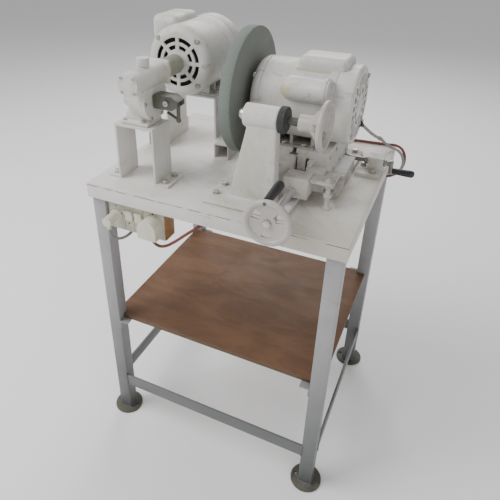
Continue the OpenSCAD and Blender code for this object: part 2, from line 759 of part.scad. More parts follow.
module hand_frame() translate([y_screw_x, hand_y, y_screw_z]) rotate([90, 0, 0]) children();

module y_handwheel() color(WHITE) hand_frame() {
    handwheel(6 + run, 13, 14, 5);
    rotate([0, 0, grip_turn + 90]) translate([hand_rim, 0, -72]) cylinder(r = 3, h = 68);
}

module y_handwheel_grip() color(BLACK) hand_frame() rotate([0, 0, grip_turn + 90])
    translate([hand_rim, 0, -6.9]) mirror([0, 0, 1]) grip(7.5, 10, 76, 3);

// ---- tailstock ----
module tail_column() color(WHITE) {
    y0 = axis_y - 18;
    y1 = axis_y + 10;
    base_z = top_z + tail_base_t;
    difference() {
        union() {
            box([-22, -230, top_z], [165, -105, base_z]);
            prism_y(y0, y1) polygon([
                [22, base_z - 1], [127, base_z - 1], [123.5, axis_z - 40], [123.5, axis_z - 19],
                [60, axis_z - 19]
            ]);
            rod_x([51, axis_y, axis_z], 24, 73);
        }
        prism_y(y0 + 5, y1 + 1) polygon([
            [34, base_z + 6], [121, base_z + 6], [118, axis_z - 32], [68, axis_z - 32]
        ]);
        rod_x([50, axis_y, axis_z], quill_r + run, 62);
        rod_x([50, axis_y, axis_z], tail_screw_r + run, 80);
        holes(tail_bolts, m8_hole / 2, top_z - 1, base_z + 1);
    }
}

module tail_quill() color(STEEL) translate([0, axis_y, axis_z]) difference() {
    union() {
        rod_x([44, 0, 0], quill_r, 57);
        translate([39, 0, 0]) rotate([0, 90, 0]) cylinder(r1 = 9, r2 = quill_r, h = 5);
    }
    rod_x([38, 0, 0], dop_r, 26);
    rod_x([90, 0, 0], 4 + run, 12);
}

module tail_feed_screw() color(BLACK) translate([0, axis_y, axis_z]) {
    rod_x([91, 0, 0], 4, 12);
    rod_x([101.3, 0, 0], tail_screw_r, 87);
    translate([188.3, 0, 0]) rotate([0, 90, 0]) cylinder(r = 7.5, h = 4, $fn = 6);
}

module tail_handwheel() color(WHITE) translate([tail_wheel_x, axis_y, axis_z]) rotate([0, 90, 0])
    handwheel(tail_screw_r, 17.5, 24, 25);

module tail_lock_ring() color(BLACK) translate([0, axis_y, axis_z]) difference() {
    union() {
        rod_x([124.3, 0, 0], 27, 15);
        rod_x([139, 0, 0], 20, 2);
    }
    rod_x([120, 0, 0], tail_screw_r + 0.3, 30);
    for (k = [0:23]) rotate([15 * k, 0, 0]) rod_x([123, 0, 27.6], 1.4, 18);
}

// ---- socket board under the front edge ----
module socket_box() color("peru") {
    difference() {
        box([-263, plate_y + 4, board_z - 2], [-107, plate_y + 42, board_z + 90]);
        box([-255, plate_y + 3, board_z + 6], [-115, plate_y + 34, board_z + 82]);
    }
    box([-240, plate_y + 6, board_z + 90], [-130, plate_y + 19, under_z - angle_t]);
}

module socket_plate() color("cornsilk") difference() {
    box([-261, plate_y, board_z], [-109, plate_y + 4, board_z + 88]);
    for (x = rocker_x) box([x - 10.4, plate_y - 1, rocker_z - 14], [x + 10.4, plate_y + 5, rocker_z + 14]);
    for (x = [-238, -136], p = [[0, 11], [-9, -7], [9, -7]])
        rod_y([x + p[0], plate_y - 1, socket_z + p[1]], 3.2, 6);
    // two spare sockets over the plugs and the seams between the modules
    for (x = [-246, -230]) rod_y([x, plate_y - 1, socket_z + 34], 2.4, 6);
    for (x = [-216, -190, -164]) box([x - 0.5, plate_y - 1, board_z - 1], [x + 0.5, plate_y + 1, board_z + 89]);
}

module rocker(x) color("ivory") translate([x, plate_y + 1, rocker_z]) rotate([rocker_tilt, 0, 0])
    prism_x(-10, 10) polygon([[7, -12], [-7, -12], [-4.5, 0], [-7, 12], [7, 12]]);
module rocker_left() rocker(rocker_x[0]);
module rocker_right() rocker(rocker_x[1]);

module plug_pins(x) for (p = [[0, 11], [-9, -7], [9, -7]])
    rod_y([x + p[0], plate_y - 1, socket_z + p[1]], 3, 18);

module plug_left() color("ivory") {
    rod_y([-238, plate_y - 42, socket_z], 12, 42);
    rod_y([-238, plate_y - 6, socket_z], 15, 6);
    rod_z([-238, -284, socket_z - 21], 5, 12);
    plug_pins(-238);
}

module plug_right() color("ivory") {
    prism_y(plate_y - 34, plate_y) translate([-136, socket_z]) {
        circle(r = 24);
        translate([-24, -24]) square([48, 24]);
    }
    translate([-131, -268, socket_z - 31]) rotate([0, -30, 0]) rod_z([0, 0, 0], 5, 14);
    plug_pins(-136);
}

// ---- leads and their clips ----
module clip(x, y, turn) translate([x, y, 753]) rotate([0, 0, turn]) difference() {
    box([-5, -7, -5.5], [5, 7, under_z - 753]);
    rod_x([-6, 0, 0], lead_r + 0.3, 12);
}
module cable_clips() color("ivory") {
    for (p = grey_clips) clip(p[0], p[1], p[0] == -210 ? 90 : 0);
    for (p = red_clips) clip(p[0], p[1], p[2]);
}
module motor1_lead() color("brown") tube(motor1_route, lead_r);
module motor2_lead_upper() color("gray") tube(upper_route, lead_r);
module motor2_lead_lower() color("gray") tube(lower_route, lead_r);

table_top();
apron_rails();
leg_tubes();
foot_plates();
stretchers_and_cleats();
shelf_board();
hex_bolts();
small_screws();
gearbox_bracket();
gearbox_housing();
gearbox_covers();
gearbox_bearings();
worm_shaft();
worm_wheel();
output_shaft();
work_head();
head_screw();
clamp_lever();
shaft_coupling();
motor1_stand();
motor1_foot();
motor1_shell();
motor1_end_bells();
motor1_stator();
motor1_capacitor_cover();
motor1_rotor();
slide_base();
x_slide();
x_jack();
x_screw_block();
x_feed_screw();
x_crank_grip();
y_slide();
y_feed_screw();
y_handwheel();
y_handwheel_grip();
motor2_foot();
motor2_shell();
motor2_end_bells();
motor2_stator();
motor2_capacitors();
motor2_bolts();
motor2_rotor();
grinding_wheel();
wheel_flanges();
tail_column();
tail_quill();
tail_feed_screw();
tail_handwheel();
tail_lock_ring();
socket_box();
socket_plate();
rocker_left();
rocker_right();
plug_left();
plug_right();
cable_clips();
motor1_lead();
motor2_lead_upper();
motor2_lead_lower();
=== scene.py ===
"""A faceting machine: work head, tailstock and a motor-driven wheel on a cross slide, on a steel table."""

import json
import math

import bmesh
import bpy
from bpy.props import FloatProperty, FloatVectorProperty, IntProperty, PointerProperty
from mathutils import Matrix, Vector

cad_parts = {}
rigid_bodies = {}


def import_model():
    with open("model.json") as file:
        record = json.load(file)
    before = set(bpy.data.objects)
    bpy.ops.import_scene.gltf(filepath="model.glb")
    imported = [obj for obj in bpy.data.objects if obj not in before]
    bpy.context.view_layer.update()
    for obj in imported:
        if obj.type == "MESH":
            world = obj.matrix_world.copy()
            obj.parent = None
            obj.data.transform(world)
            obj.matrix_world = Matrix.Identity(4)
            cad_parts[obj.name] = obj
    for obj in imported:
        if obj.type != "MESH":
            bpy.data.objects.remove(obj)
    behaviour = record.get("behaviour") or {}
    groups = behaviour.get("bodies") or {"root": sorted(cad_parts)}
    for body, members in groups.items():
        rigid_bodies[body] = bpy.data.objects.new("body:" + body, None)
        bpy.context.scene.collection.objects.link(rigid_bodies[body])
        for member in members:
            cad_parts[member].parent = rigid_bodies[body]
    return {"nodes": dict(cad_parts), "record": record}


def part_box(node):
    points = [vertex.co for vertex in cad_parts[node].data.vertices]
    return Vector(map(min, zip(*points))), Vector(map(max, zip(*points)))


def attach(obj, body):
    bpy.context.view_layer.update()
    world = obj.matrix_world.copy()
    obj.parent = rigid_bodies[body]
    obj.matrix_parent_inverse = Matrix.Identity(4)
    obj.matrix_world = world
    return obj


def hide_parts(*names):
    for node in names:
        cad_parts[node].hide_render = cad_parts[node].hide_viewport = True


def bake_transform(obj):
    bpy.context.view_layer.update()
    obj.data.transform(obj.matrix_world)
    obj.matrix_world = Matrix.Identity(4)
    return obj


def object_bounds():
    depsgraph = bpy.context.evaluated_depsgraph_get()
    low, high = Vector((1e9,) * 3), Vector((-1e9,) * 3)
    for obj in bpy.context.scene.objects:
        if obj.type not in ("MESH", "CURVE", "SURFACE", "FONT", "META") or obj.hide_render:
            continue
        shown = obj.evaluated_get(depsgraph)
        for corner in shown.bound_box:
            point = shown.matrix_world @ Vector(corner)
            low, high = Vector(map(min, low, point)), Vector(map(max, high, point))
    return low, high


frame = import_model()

bl_info = {
    "name": "Faceting machine",
    "version": (1, 0, 0),
    "blender": (4, 5, 0),
    "location": "3D View > Sidebar > Faceting",
    "description": "Dresses the packed faceting machine with finished pieces and materials",
    "category": "Object",
}

MM = 0.001
BOLT_HEAD_STACK = 7.1 * MM  # washer and head, over the plate
NUT_STACK = 8.5 * MM  # nut and bolt's end, under the table
KNURL_RIBS = 40
CAD_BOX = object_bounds()
NODES = frame["nodes"]
RECORD = frame["record"]
BODY_OF = {node: body for body, nodes in RECORD["behaviour"]["bodies"].items() for node in nodes}


# ---------------------------------------------------------------- node graphs
class Wire:
    """A value in a node graph: arithmetic on it adds Math nodes."""

    def __init__(self, graph, socket):
        self.graph, self.socket = graph, socket

    def _maths(self, operation, *values):
        return self.graph.add("ShaderNodeMath", {"operation": operation}, dict(enumerate(values)))

    def __add__(self, other):
        return self._maths("ADD", self, other)

    def __sub__(self, other):
        return self._maths("SUBTRACT", self, other)

    def __rsub__(self, other):
        return self._maths("SUBTRACT", other, self)

    def __mul__(self, other):
        return self._maths("MULTIPLY", self, other)

    __radd__, __rmul__ = __add__, __mul__

    def size(self):
        return self._maths("ABSOLUTE", self)

    def wave(self):
        return self._maths("SINE", self)


class Graph:
    """Adds nodes to a tree; add() is the only way in."""

    def __init__(self, tree):
        self.tree = tree
        tree.nodes.clear()

    def add(self, kind, settings=None, values=None, output=0):
        node = self.tree.nodes.new(kind)
        for key, value in (settings or {}).items():
            if key == "stops":
                self._set_stops(node.color_ramp, value)
            else:
                setattr(node, key, value)
        for key, value in (values or {}).items():
            self.feed(node.inputs[key], value)
        return Wire(self, node.outputs[output]) if node.outputs else node

    def feed(self, socket, value):
        for one in value if isinstance(value, list) else [value]:
            if isinstance(one, Wire):
                self.tree.links.new(one.socket, socket)
            else:
                socket.default_value = one

    @staticmethod
    def _set_stops(ramp, stops):
        while len(ramp.elements) < len(stops):
            ramp.elements.new(1.0)
        for element, (place, colour) in zip(ramp.elements, stops):
            element.position, element.color = place, (*colour, 1.0)


class Finish(Graph):
    """One procedural material, on object coordinates."""

    def __init__(self, name):
        self.material = bpy.data.materials.new(name)
        self.material.use_nodes = True
        super().__init__(self.material.node_tree)
        self.place = self.add("ShaderNodeTexCoord", output="Object")

    def axis(self, letter):
        return self.add("ShaderNodeSeparateXYZ", values={0: self.place}, output="XYZ".index(letter))

    def stretched(self, scale):
        return self.add("ShaderNodeMapping", values={"Vector": self.place, "Scale": scale})

    def noise(self, scale, detail=2.0, rough=0.5, stretch=None, twist=0.0):
        where = self.stretched(stretch) if stretch else self.place
        values = {"Vector": where, "Scale": scale, "Detail": detail, "Roughness": rough, "Distortion": twist}
        return self.add("ShaderNodeTexNoise", values=values)

    def specks(self, scale):
        return self.add("ShaderNodeTexVoronoi", values={"Vector": self.place, "Scale": scale})

    def ease(self, value, low, high):
        """0 below low, 1 above high, smooth between."""
        return self.add(
            "ShaderNodeMapRange", {"interpolation_type": "SMOOTHSTEP"},
             {0: value, 1: low, 2: high, 3: 0.0, 4: 1.0}
        )

    def mix(self, mask, first, second):
        first, second = [c if isinstance(c, Wire) else (*c, 1.0) for c in (first, second)]
        return self.add("ShaderNodeMix", {"data_type": "RGBA"}, {0: mask, 6: first, 7: second}, output=2)

    def bump(self, height, depth, below=None):
        values = {"Height": height, "Strength": 1.0, "Distance": depth}
        if below is not None:
            values["Normal"] = below
        return self.add("ShaderNodeBump", values=values)

    def done(self, **sockets):
        names = {"colour": "Base Color", "rough": "Roughness", "metal": "Metallic", "normal": "Normal",
                 "coat": "Coat Weight", "coat_rough": "Coat Roughness", "specular": "Specular IOR Level"}
        values = {}
        for key, value in sockets.items():
            values[names[key]] = (*value, 1.0) if key == "colour" and not isinstance(value, Wire) else value
        shader = self.add("ShaderNodeBsdfPrincipled", values=values)
        self.add("ShaderNodeOutputMaterial", values={"Surface": shader})
        return self.material


def enamel(name, base, stain, dirt=1.0, painted_low_shade=0.0, rough=0.42, chips=0.6, yellowed=0.0, seam=None):
    """Brushed-on workshop paint: yellowed patches, grey scuffs, a few chips, and dust, with optional painted shade.
    """
    f = Finish(name)
    patches = f.ease(f.noise(9.0, 6.0, 0.62, twist=0.6), 0.47, 0.66)
    runs = f.ease(f.noise(1.0, 3.0, 0.5, stretch=(60.0, 60.0, 6.0)), 0.52, 0.75)
    smears = f.ease(f.noise(1.0, 6.0, 0.7, stretch=(24.0, 70.0, 40.0), twist=1.2), 0.56, 0.70)
    dots = f.ease(f.noise(260.0, 3.0, 0.7), 0.70, 0.76)
    chip = f.ease(f.noise(64.0, 8.0, 0.62, twist=0.4), 0.752 - 0.02 * chips, 0.764 - 0.02 * chips)
    # With yellowed set, the paint turns darker and yellower towards +X and the front: part real yellowing, part
    # painted shade where the light falls off.
    if yellowed:
        side = f.ease(f.axis("X") - f.axis("Y") * 0.35 + patches * 0.12, -0.05, 0.42)
        base_yellowed_and_shaded = tuple(c * k for c, k in zip(base, (0.80, 0.765, 0.70)))
        base_now = f.mix(side * yellowed, base, base_yellowed_and_shaded)
    else:
        base_now = base
    colour = f.mix(patches * (0.55 * dirt), base_now, stain)
    colour = f.mix(runs * (0.16 * dirt), colour, tuple(c * 0.62 for c in base))
    colour = f.mix(smears * (0.42 * dirt), colour, (0.27, 0.255, 0.22))
    colour = f.mix(dots * (0.45 * dirt), colour, (0.20, 0.17, 0.13))
    # Painted shade: the paint turns dark grey towards the floor.
    if painted_low_shade:
        low = 1 - f.ease(f.axis("Z"), 0.02, 0.62)
        colour = f.mix(low * painted_low_shade, colour, (0.118, 0.126, 0.123))
    colour = f.mix(chip * chips, colour, (0.11, 0.095, 0.08))
    # Painted shade: a dark, broken line at the seam height, for the shadowed joint between two parts.
    if seam is not None:
        line = 1 - f.ease((f.axis("Z") - seam).size(), 0.0004, 0.0012)
        colour = f.mix(line * f.ease(f.noise(30.0), 0.36, 0.52), colour, (0.09, 0.08, 0.07))
    brush = f.noise(1.0, 3.0, 0.6, stretch=(150.0, 520.0, 300.0))
    normal = f.bump(f.noise(420.0, 3.0, 0.6), 0.00012, f.bump(brush - chip * 1.5, 0.00022))
    return f.done(colour=colour, rough=rough + patches * 0.12 + smears * 0.16 + chip * 0.12, normal=normal)


def metal(name, base, rough=0.34, grain=(40.0, 40.0, 900.0),
          tarnish=(0.16, 0.12, 0.08), amount=0.35, metallic=0.92):
    """Turned, rolled or plated steel: fine tool lines, with darker spots where it has tarnished."""
    f = Finish(name)
    lines = f.noise(1.0, 3.0, 0.6, stretch=grain)
    spots = f.ease(f.noise(90.0, 6.0, 0.65, twist=0.3), 0.52, 0.74)
    colour = f.mix(lines * 0.5, base, tuple(c * 0.72 for c in base))
    colour = f.mix(spots * amount, colour, tarnish)
    return f.done(
        colour=colour,
        rough=rough + lines * 0.14 + spots * 0.22,
        metal=metallic - spots * 0.35,
        normal=f.bump(lines, 0.00008),
    )


def moulded(name, base, rough=0.5, dirt=0.3, grime=(0.30, 0.25, 0.17), grain=900.0, coat=0.0):
    """Moulded plastic or rubber, with a fine skin and handling marks."""
    f = Finish(name)
    marks = f.ease(f.noise(38.0, 5.0, 0.65, twist=0.5), 0.50, 0.76)
    dust = f.ease(f.noise(240.0, 2.0, 0.6), 0.62, 0.74)
    colour = f.mix(marks * dirt, base, grime)
    colour = f.mix(dust * (dirt * 0.35), colour, (0.36, 0.34, 0.30))
    return f.done(
        colour=colour, rough=rough + marks * 0.16, coat=coat, normal=f.bump(f.noise(grain, 2.0, 0.5), 0.00007)
    )


def plywood(name, light, dark):
    """Mottled rotary-cut veneer, with the plies showing on the edges."""
    f = Finish(name)
    figure = f.noise(1.0, 6.0, 0.62, stretch=(5.0, 14.0, 14.0), twist=1.2)
    pores = f.noise(1.0, 4.0, 0.7, stretch=(24.0, 420.0, 420.0))
    blotch = f.ease(f.noise(5.5, 4.0, 0.6, twist=0.5), 0.38, 0.72)
    worn = f.ease(f.noise(17.0, 5.0, 0.7, twist=0.7), 0.60, 0.78)
    colour = f.mix(f.ease(figure, 0.34, 0.66), light, dark)
    colour = f.mix(blotch * 0.28, colour, tuple(c * 0.60 for c in dark))
    colour = f.mix(f.ease(pores, 0.52, 0.70) * 0.35, colour, tuple(c * 0.50 for c in dark))
    colour = f.mix(worn * 0.35, colour, tuple(min(1.0, c * 1.35) for c in light))
    flat = f.add("ShaderNodeSeparateXYZ",
                 values={0: f.add("ShaderNodeNewGeometry", output="Normal")}, output=2)
    edge = 1 - f.ease(flat.size(), 0.35, 0.65)
    plies = f.ease((f.axis("Z") * (math.tau / 0.0024)).wave(), -0.2, 0.2)
    colour = f.mix(edge, colour, f.mix(plies, (0.05, 0.032, 0.02), (0.17, 0.105, 0.062)))
    return f.done(colour=colour, rough=0.62 + blotch * 0.12,
                  normal=f.bump(pores, 0.0002, f.bump(figure, 0.0003)))


def varnished_wood(name, light, dark):
    f = Finish(name)
    grain = f.noise(1.0, 6.0, 0.6, stretch=(22.0, 60.0, 140.0), twist=0.9)
    lines = f.ease(f.noise(1.0, 4.0, 0.7, stretch=(60.0, 500.0, 900.0)), 0.48, 0.68)
    colour = f.mix(f.ease(grain, 0.35, 0.65), light, dark)
    colour = f.mix(lines * 0.4, colour, tuple(c * 0.5 for c in dark))
    return f.done(colour=colour, rough=0.36 + grain * 0.15, coat=0.25,
                  coat_rough=0.3, normal=f.bump(lines, 0.0001))


def bonded_grit(name, rim, face, axis_point, radius):
    """A grinding wheel: grit and pores, greener on the rim, charcoal on the worn faces."""
    f = Finish(name)
    grit = f.noise(620.0, 4.0, 0.75)
    cells = f.specks(900.0)
    smear = f.noise(16.0, 4.0, 0.6, twist=0.8)
    out = f.add("ShaderNodeVectorMath", {"operation": "SUBTRACT"}, {0: f.place, 1: axis_point})
    across = f.add("ShaderNodeVectorMath", {"operation": "MULTIPLY"}, {0: out, 1: (0.0, 1.0, 1.0)})
    far = f.add("ShaderNodeVectorMath", {"operation": "LENGTH"}, {0: across}, output="Value")
    on_rim = f.ease(far, radius - 0.0012, radius - 0.0004)
    rings = f.ease((far * 900.0 + smear * 6.0).wave(), 0.2, 1.0)
    base = f.mix(on_rim, face, rim)
    colour = f.mix(f.ease(grit, 0.40, 0.66) * 0.55, base, tuple(c * 0.5 for c in face))
    colour = f.mix(f.ease(grit, 0.62, 0.70) * 0.4, colour, (0.34, 0.36, 0.33))
    colour = f.mix(rings * (1 - on_rim) * 0.14, colour, tuple(c * 1.3 for c in face))
    colour = f.mix(f.ease(smear, 0.50, 0.72) * 0.25, colour, tuple(c * 1.2 for c in rim))
    height = grit + cells * 0.8
    return f.done(colour=colour, rough=0.86, normal=f.bump(height, 0.0006), specular=0.3)


def cord_sheath(name, base):
    f = Finish(name)
    scuff = f.ease(f.noise(30.0, 5.0, 0.7, twist=0.5), 0.50, 0.72)
    colour = f.mix(scuff * 0.4, base, tuple(c * 0.55 for c in base))
    return f.done(colour=colour, rough=0.55 + scuff * 0.15, normal=f.bump(f.noise(500.0, 3.0, 0.6), 0.0001))


def floor_paint(name, base):
    f = Finish(name)
    cloud = f.noise(1.3, 3.0, 0.5)
    return f.done(colour=f.mix(cloud * 0.25, base, tuple(c * 0.96 for c in base)), rough=0.8, specular=0.2)


WHEEL_CENTRE = (0.0, sum(c.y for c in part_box("grinding_wheel")) / 2,
                sum(c.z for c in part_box("grinding_wheel")) / 2)
WHEEL_RADIUS = (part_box("grinding_wheel")[1].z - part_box("grinding_wheel")[0].z) / 2


def finishes(paint):
    """Makes every finish on the machine. The pieces ask for them by name."""
    white, stain = tuple(paint.white), tuple(paint.stain)
    shade = tuple(c * 0.86 for c in white)
    # The dark line at top_seam is painted shade in the joint under the plate.
    top_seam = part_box("apron_rails")[1].z
    # The table's yellowed right side is part yellowing, part painted shade.
    enamel("table enamel", white, stain, 0.75, rough=0.40, chips=0.7, yellowed=0.9, seam=top_seam)
    enamel("frame enamel", (0.375, 0.37, 0.385), (0.33, 0.32, 0.28), 0.9, painted_low_shade=1.0, rough=0.40)
    enamel("foot enamel", (0.062, 0.060, 0.050), (0.115, 0.107, 0.083), 1.4, rough=0.6, chips=1.0)
    enamel("bracket enamel", tuple(c * 0.94 for c in white), stain, 0.7, rough=0.36, chips=0.5)
    # The slides' yellowed side is part yellowing, part painted shade.
    enamel("slide enamel", tuple(c * 0.82 for c in white), (0.30, 0.27, 0.21), 1.6, rough=0.40,
           chips=1.0, yellowed=0.5)
    enamel("cast enamel", tuple(c * 0.93 for c in white), stain, 1.1, rough=0.46, chips=0.6)
    enamel("motor enamel", shade, stain, 1.5, rough=0.42, chips=0.9)
    enamel("stained enamel", tuple(c * 0.98 for c in shade), (0.50, 0.46, 0.28), 1.7)
    enamel("handwheel enamel", (0.47, 0.44, 0.415), (0.36, 0.33, 0.27), 0.9, rough=0.3)
    metal("zinc", (0.55, 0.54, 0.50), 0.36, (90.0, 90.0, 90.0), (0.22, 0.17, 0.10), 0.45)
    metal("bright steel", (0.62, 0.61, 0.59), 0.26, (900.0, 900.0, 40.0), amount=0.25)
    metal("greasy steel", (0.34, 0.33, 0.31), 0.34, (60.0, 700.0, 60.0), (0.07, 0.05, 0.03), 0.6)
    metal("blackened steel", (0.150, 0.154, 0.130), 0.42, (200.0, 60.0, 200.0),
          (0.10, 0.095, 0.075), 0.5, 0.7)
    metal("bronze", (0.52, 0.36, 0.15), 0.32, (60.0, 60.0, 600.0), (0.16, 0.10, 0.04), 0.4)
    metal("dark winding", (0.085, 0.082, 0.076), 0.6, (700.0, 60.0, 60.0), amount=0.5)
    moulded("black plastic", (0.020, 0.021, 0.024), 0.40, 0.22, (0.10, 0.10, 0.09))
    moulded("ring plastic", (0.034, 0.036, 0.036), 0.55, 0.4, (0.11, 0.11, 0.10))
    moulded("olive rubber", (0.30, 0.305, 0.245), 0.46, 0.5, (0.38, 0.37, 0.30))
    moulded("cream plastic", (0.50, 0.485, 0.385), 0.34, 0.40, coat=0.2)
    moulded("pale plastic", (0.66, 0.64, 0.52), 0.30, 0.22, coat=0.25)
    plywood("shelf ply", (0.165, 0.083, 0.040), (0.118, 0.057, 0.028))
    varnished_wood("box wood", (0.34, 0.155, 0.042), (0.22, 0.088, 0.024))
    bonded_grit("grit", (0.215, 0.245, 0.225), (0.22, 0.24, 0.215), WHEEL_CENTRE, WHEEL_RADIUS)
    cord_sheath("red sheath", (0.165, 0.042, 0.028))
    cord_sheath("grey sheath", (0.27, 0.265, 0.25))
    metal("rating foil", (0.50, 0.485, 0.36), 0.5, (300.0, 60.0, 300.0), (0.42, 0.39, 0.25), 0.5, 0.2)


def finish(name):
    return bpy.data.materials[name]


# ---------------------------------------------------------------- making pieces
def link(name, data):
    piece = bpy.data.objects.new(name, data)
    bpy.context.scene.collection.objects.link(piece)
    return piece


def mesh_from(bm, name):
    mesh = bpy.data.meshes.new(name)
    bm.to_mesh(mesh)
    bm.free()
    return mesh


def settle(piece, material, body, stands_for=(), crease=38.0):
    """Gives a finished mesh its material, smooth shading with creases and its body."""
    piece.data.materials.clear()
    piece.data.materials.append(finish(material))
    piece.data.polygons.foreach_set("use_smooth", [True] * len(piece.data.polygons))
    piece.data.set_sharp_from_angle(angle=math.radians(crease))
    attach(piece, body)
    if stands_for:
        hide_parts(*stands_for)
    return piece


def bake_modifiers(piece):
    """Turns what the modifiers make into the piece's own mesh, and removes them."""
    shown = piece.evaluated_get(bpy.context.evaluated_depsgraph_get())
    baked = bpy.data.meshes.new_from_object(shown)
    piece.modifiers.clear()
    old, piece.data = piece.data, baked
    bpy.data.meshes.remove(old)
    baked.name = piece.name
    return piece


def merged_copy(node, flat=0.6):
    """The node's surface as one welded mesh with its flat faces whole."""
    bm = bmesh.new()
    bm.from_mesh(NODES[node].data)
    bmesh.ops.remove_doubles(bm, verts=bm.verts, dist=2e-6)
    if flat:
        bmesh.ops.dissolve_limit(
            bm, angle_limit=math.radians(flat), use_dissolve_boundaries=False, verts=bm.verts, edges=bm.edges
        )
    return bm


def lumps(node):
    """The box of each separate solid in a CAD node, as (low, high)."""
    bm = merged_copy(node, 0)
    left, found = set(bm.verts), []
    while left:
        heap, seen = [left.pop()], []
        while heap:
            vert = heap.pop()
            seen.append(vert)
            for edge in vert.link_edges:
                other = edge.other_vert(vert)
                if other in left:
                    left.remove(other)
                    heap.append(other)
        low = Vector([min(v.co[k] for v in seen) for k in range(3)])
        high = Vector([max(v.co[k] for v in seen) for k in range(3)])
        found.append((low, high))
    bm.free()
    return sorted(found, key=lambda box: tuple(round(c, 5) for c in box[0]))


def dress(node, material, round_mm=0.6, steps=2):
    """A finished copy of one CAD node, with its sharp edges broken."""
    piece = link(node + "_finished", mesh_from(merged_copy(node), node))
    if round_mm:
        bevel = piece.modifiers.new("edges", "BEVEL")
        bevel.width, bevel.segments = round_mm * MM, steps
        bevel.limit_method, bevel.angle_limit = "ANGLE", math.radians(34)
        bake_modifiers(piece)
    return settle(piece, material, BODY_OF[node], [node])


def cast(node, material, voxel_mm=1.6, rounds=8, name=None, lumps_on=()):
    """A finished copy of a node with the soft inner and outer corners of a sand casting."""
    bm = merged_copy(node, 0)
    for lump in lumps_on:
        bm.from_mesh(lump.data)
        bpy.data.objects.remove(lump)
    piece = link(name or node + "_casting", mesh_from(bm, node))
    voxels = piece.modifiers.new("skin", "REMESH")
    voxels.mode, voxels.voxel_size = "VOXEL", voxel_mm * MM
    soften = piece.modifiers.new("soften", "SMOOTH")
    soften.factor, soften.iterations = 0.5, rounds
    bake_modifiers(piece)
    return settle(piece, material, BODY_OF[node], [node], 60.0)


def coat(node, material):
    """A CAD node whose own shape shows: only its material changes."""
    slots = NODES[node].data.materials
    if not slots:
        slots.append(finish(material))
    for slot in NODES[node].material_slots:
        slot.material = finish(material)


def turned(name, profile, at, axis, segments=72):
    """A closed solid of revolution: profile is (distance along the axis, radius) from at."""
    turn = Vector(axis).to_track_quat("Z", "Y").to_matrix().to_4x4()
    bm = bmesh.new()
    rings = []
    for along, radius in profile:
        ring = []
        for k in range(segments if radius > 1e-7 else 1):
            angle = math.tau * k / segments
            ring.append(bm.verts.new((radius * math.cos(angle), radius * math.sin(angle), along)))
        rings.append(ring)
    pairs = list(zip(rings, rings[1:]))
    if len(rings[0]) > 1 and len(rings[-1]) > 1:
        pairs.append((rings[-1], rings[0]))
    for low, high in pairs:
        for k in range(segments):
            corners = [low[k % len(low)], low[(k + 1) % len(low)], high[(k + 1) % len(high)],
                       high[k % len(high)]]
            corners = list(dict.fromkeys(corners))
            if len(corners) > 2:
                bm.faces.new(corners)
    bmesh.ops.transform(bm, matrix=Matrix.Translation(at) @ turn, verts=bm.verts)
    bmesh.ops.recalc_face_normals(bm, faces=bm.faces)
    return link(name, mesh_from(bm, name))


def prism(name, outline, low, high, axis, round_mm=0.0, steps=3):
    """A slab: outline in the two other axes, in their order, from low to high along axis."""
    k = "XYZ".index(axis)
    a, b = [n for n in range(3) if n != k]
    bm = bmesh.new()
    ends = []
    for level in (low, high):
        ring = []
        for point in outline:
            co = [0.0, 0.0, 0.0]
            co[a], co[b], co[k] = point[0], point[1], level
            ring.append(bm.verts.new(co))
        ends.append(ring)
        bm.faces.new(ring)
    for n in range(len(outline)):
        m = (n + 1) % len(outline)
        bm.faces.new([ends[0][n], ends[0][m], ends[1][m], ends[1][n]])
    bmesh.ops.recalc_face_normals(bm, faces=bm.faces)
    if round_mm:
        bmesh.ops.bevel(
            bm, geom=bm.edges, offset=round_mm * MM, segments=steps,
            profile=0.5, affect="EDGES", clamp_overlap=True
        )
    return link(name, mesh_from(bm, name))


def curved_plate(name, axis_point, radius, x_span, angles, thick, steps=10):
    """A thin plate bent round an axis along X; angles in degrees from the top towards the front."""
    bm = bmesh.new()
    rows = []
    for k in range(steps + 1):
        turn = math.radians(angles[0] + (angles[1] - angles[0]) * k / steps)
        row = []
        for reach in (radius, radius + thick):
            for x in x_span:
                row.append(bm.verts.new((x, axis_point[1] - reach * math.sin(turn),
                                         axis_point[2] + reach * math.cos(turn))))
        rows.append(row)
    for one, two in zip(rows, rows[1:]):
        for a, b in ((0, 1), (1, 3), (3, 2), (2, 0)):
            bm.faces.new([one[a], one[b], two[b], two[a]])
    for row in (rows[0], rows[-1]):
        bm.faces.new([row[0], row[1], row[3], row[2]])
    bmesh.ops.recalc_face_normals(bm, faces=bm.faces)
    return link(name, mesh_from(bm, name))


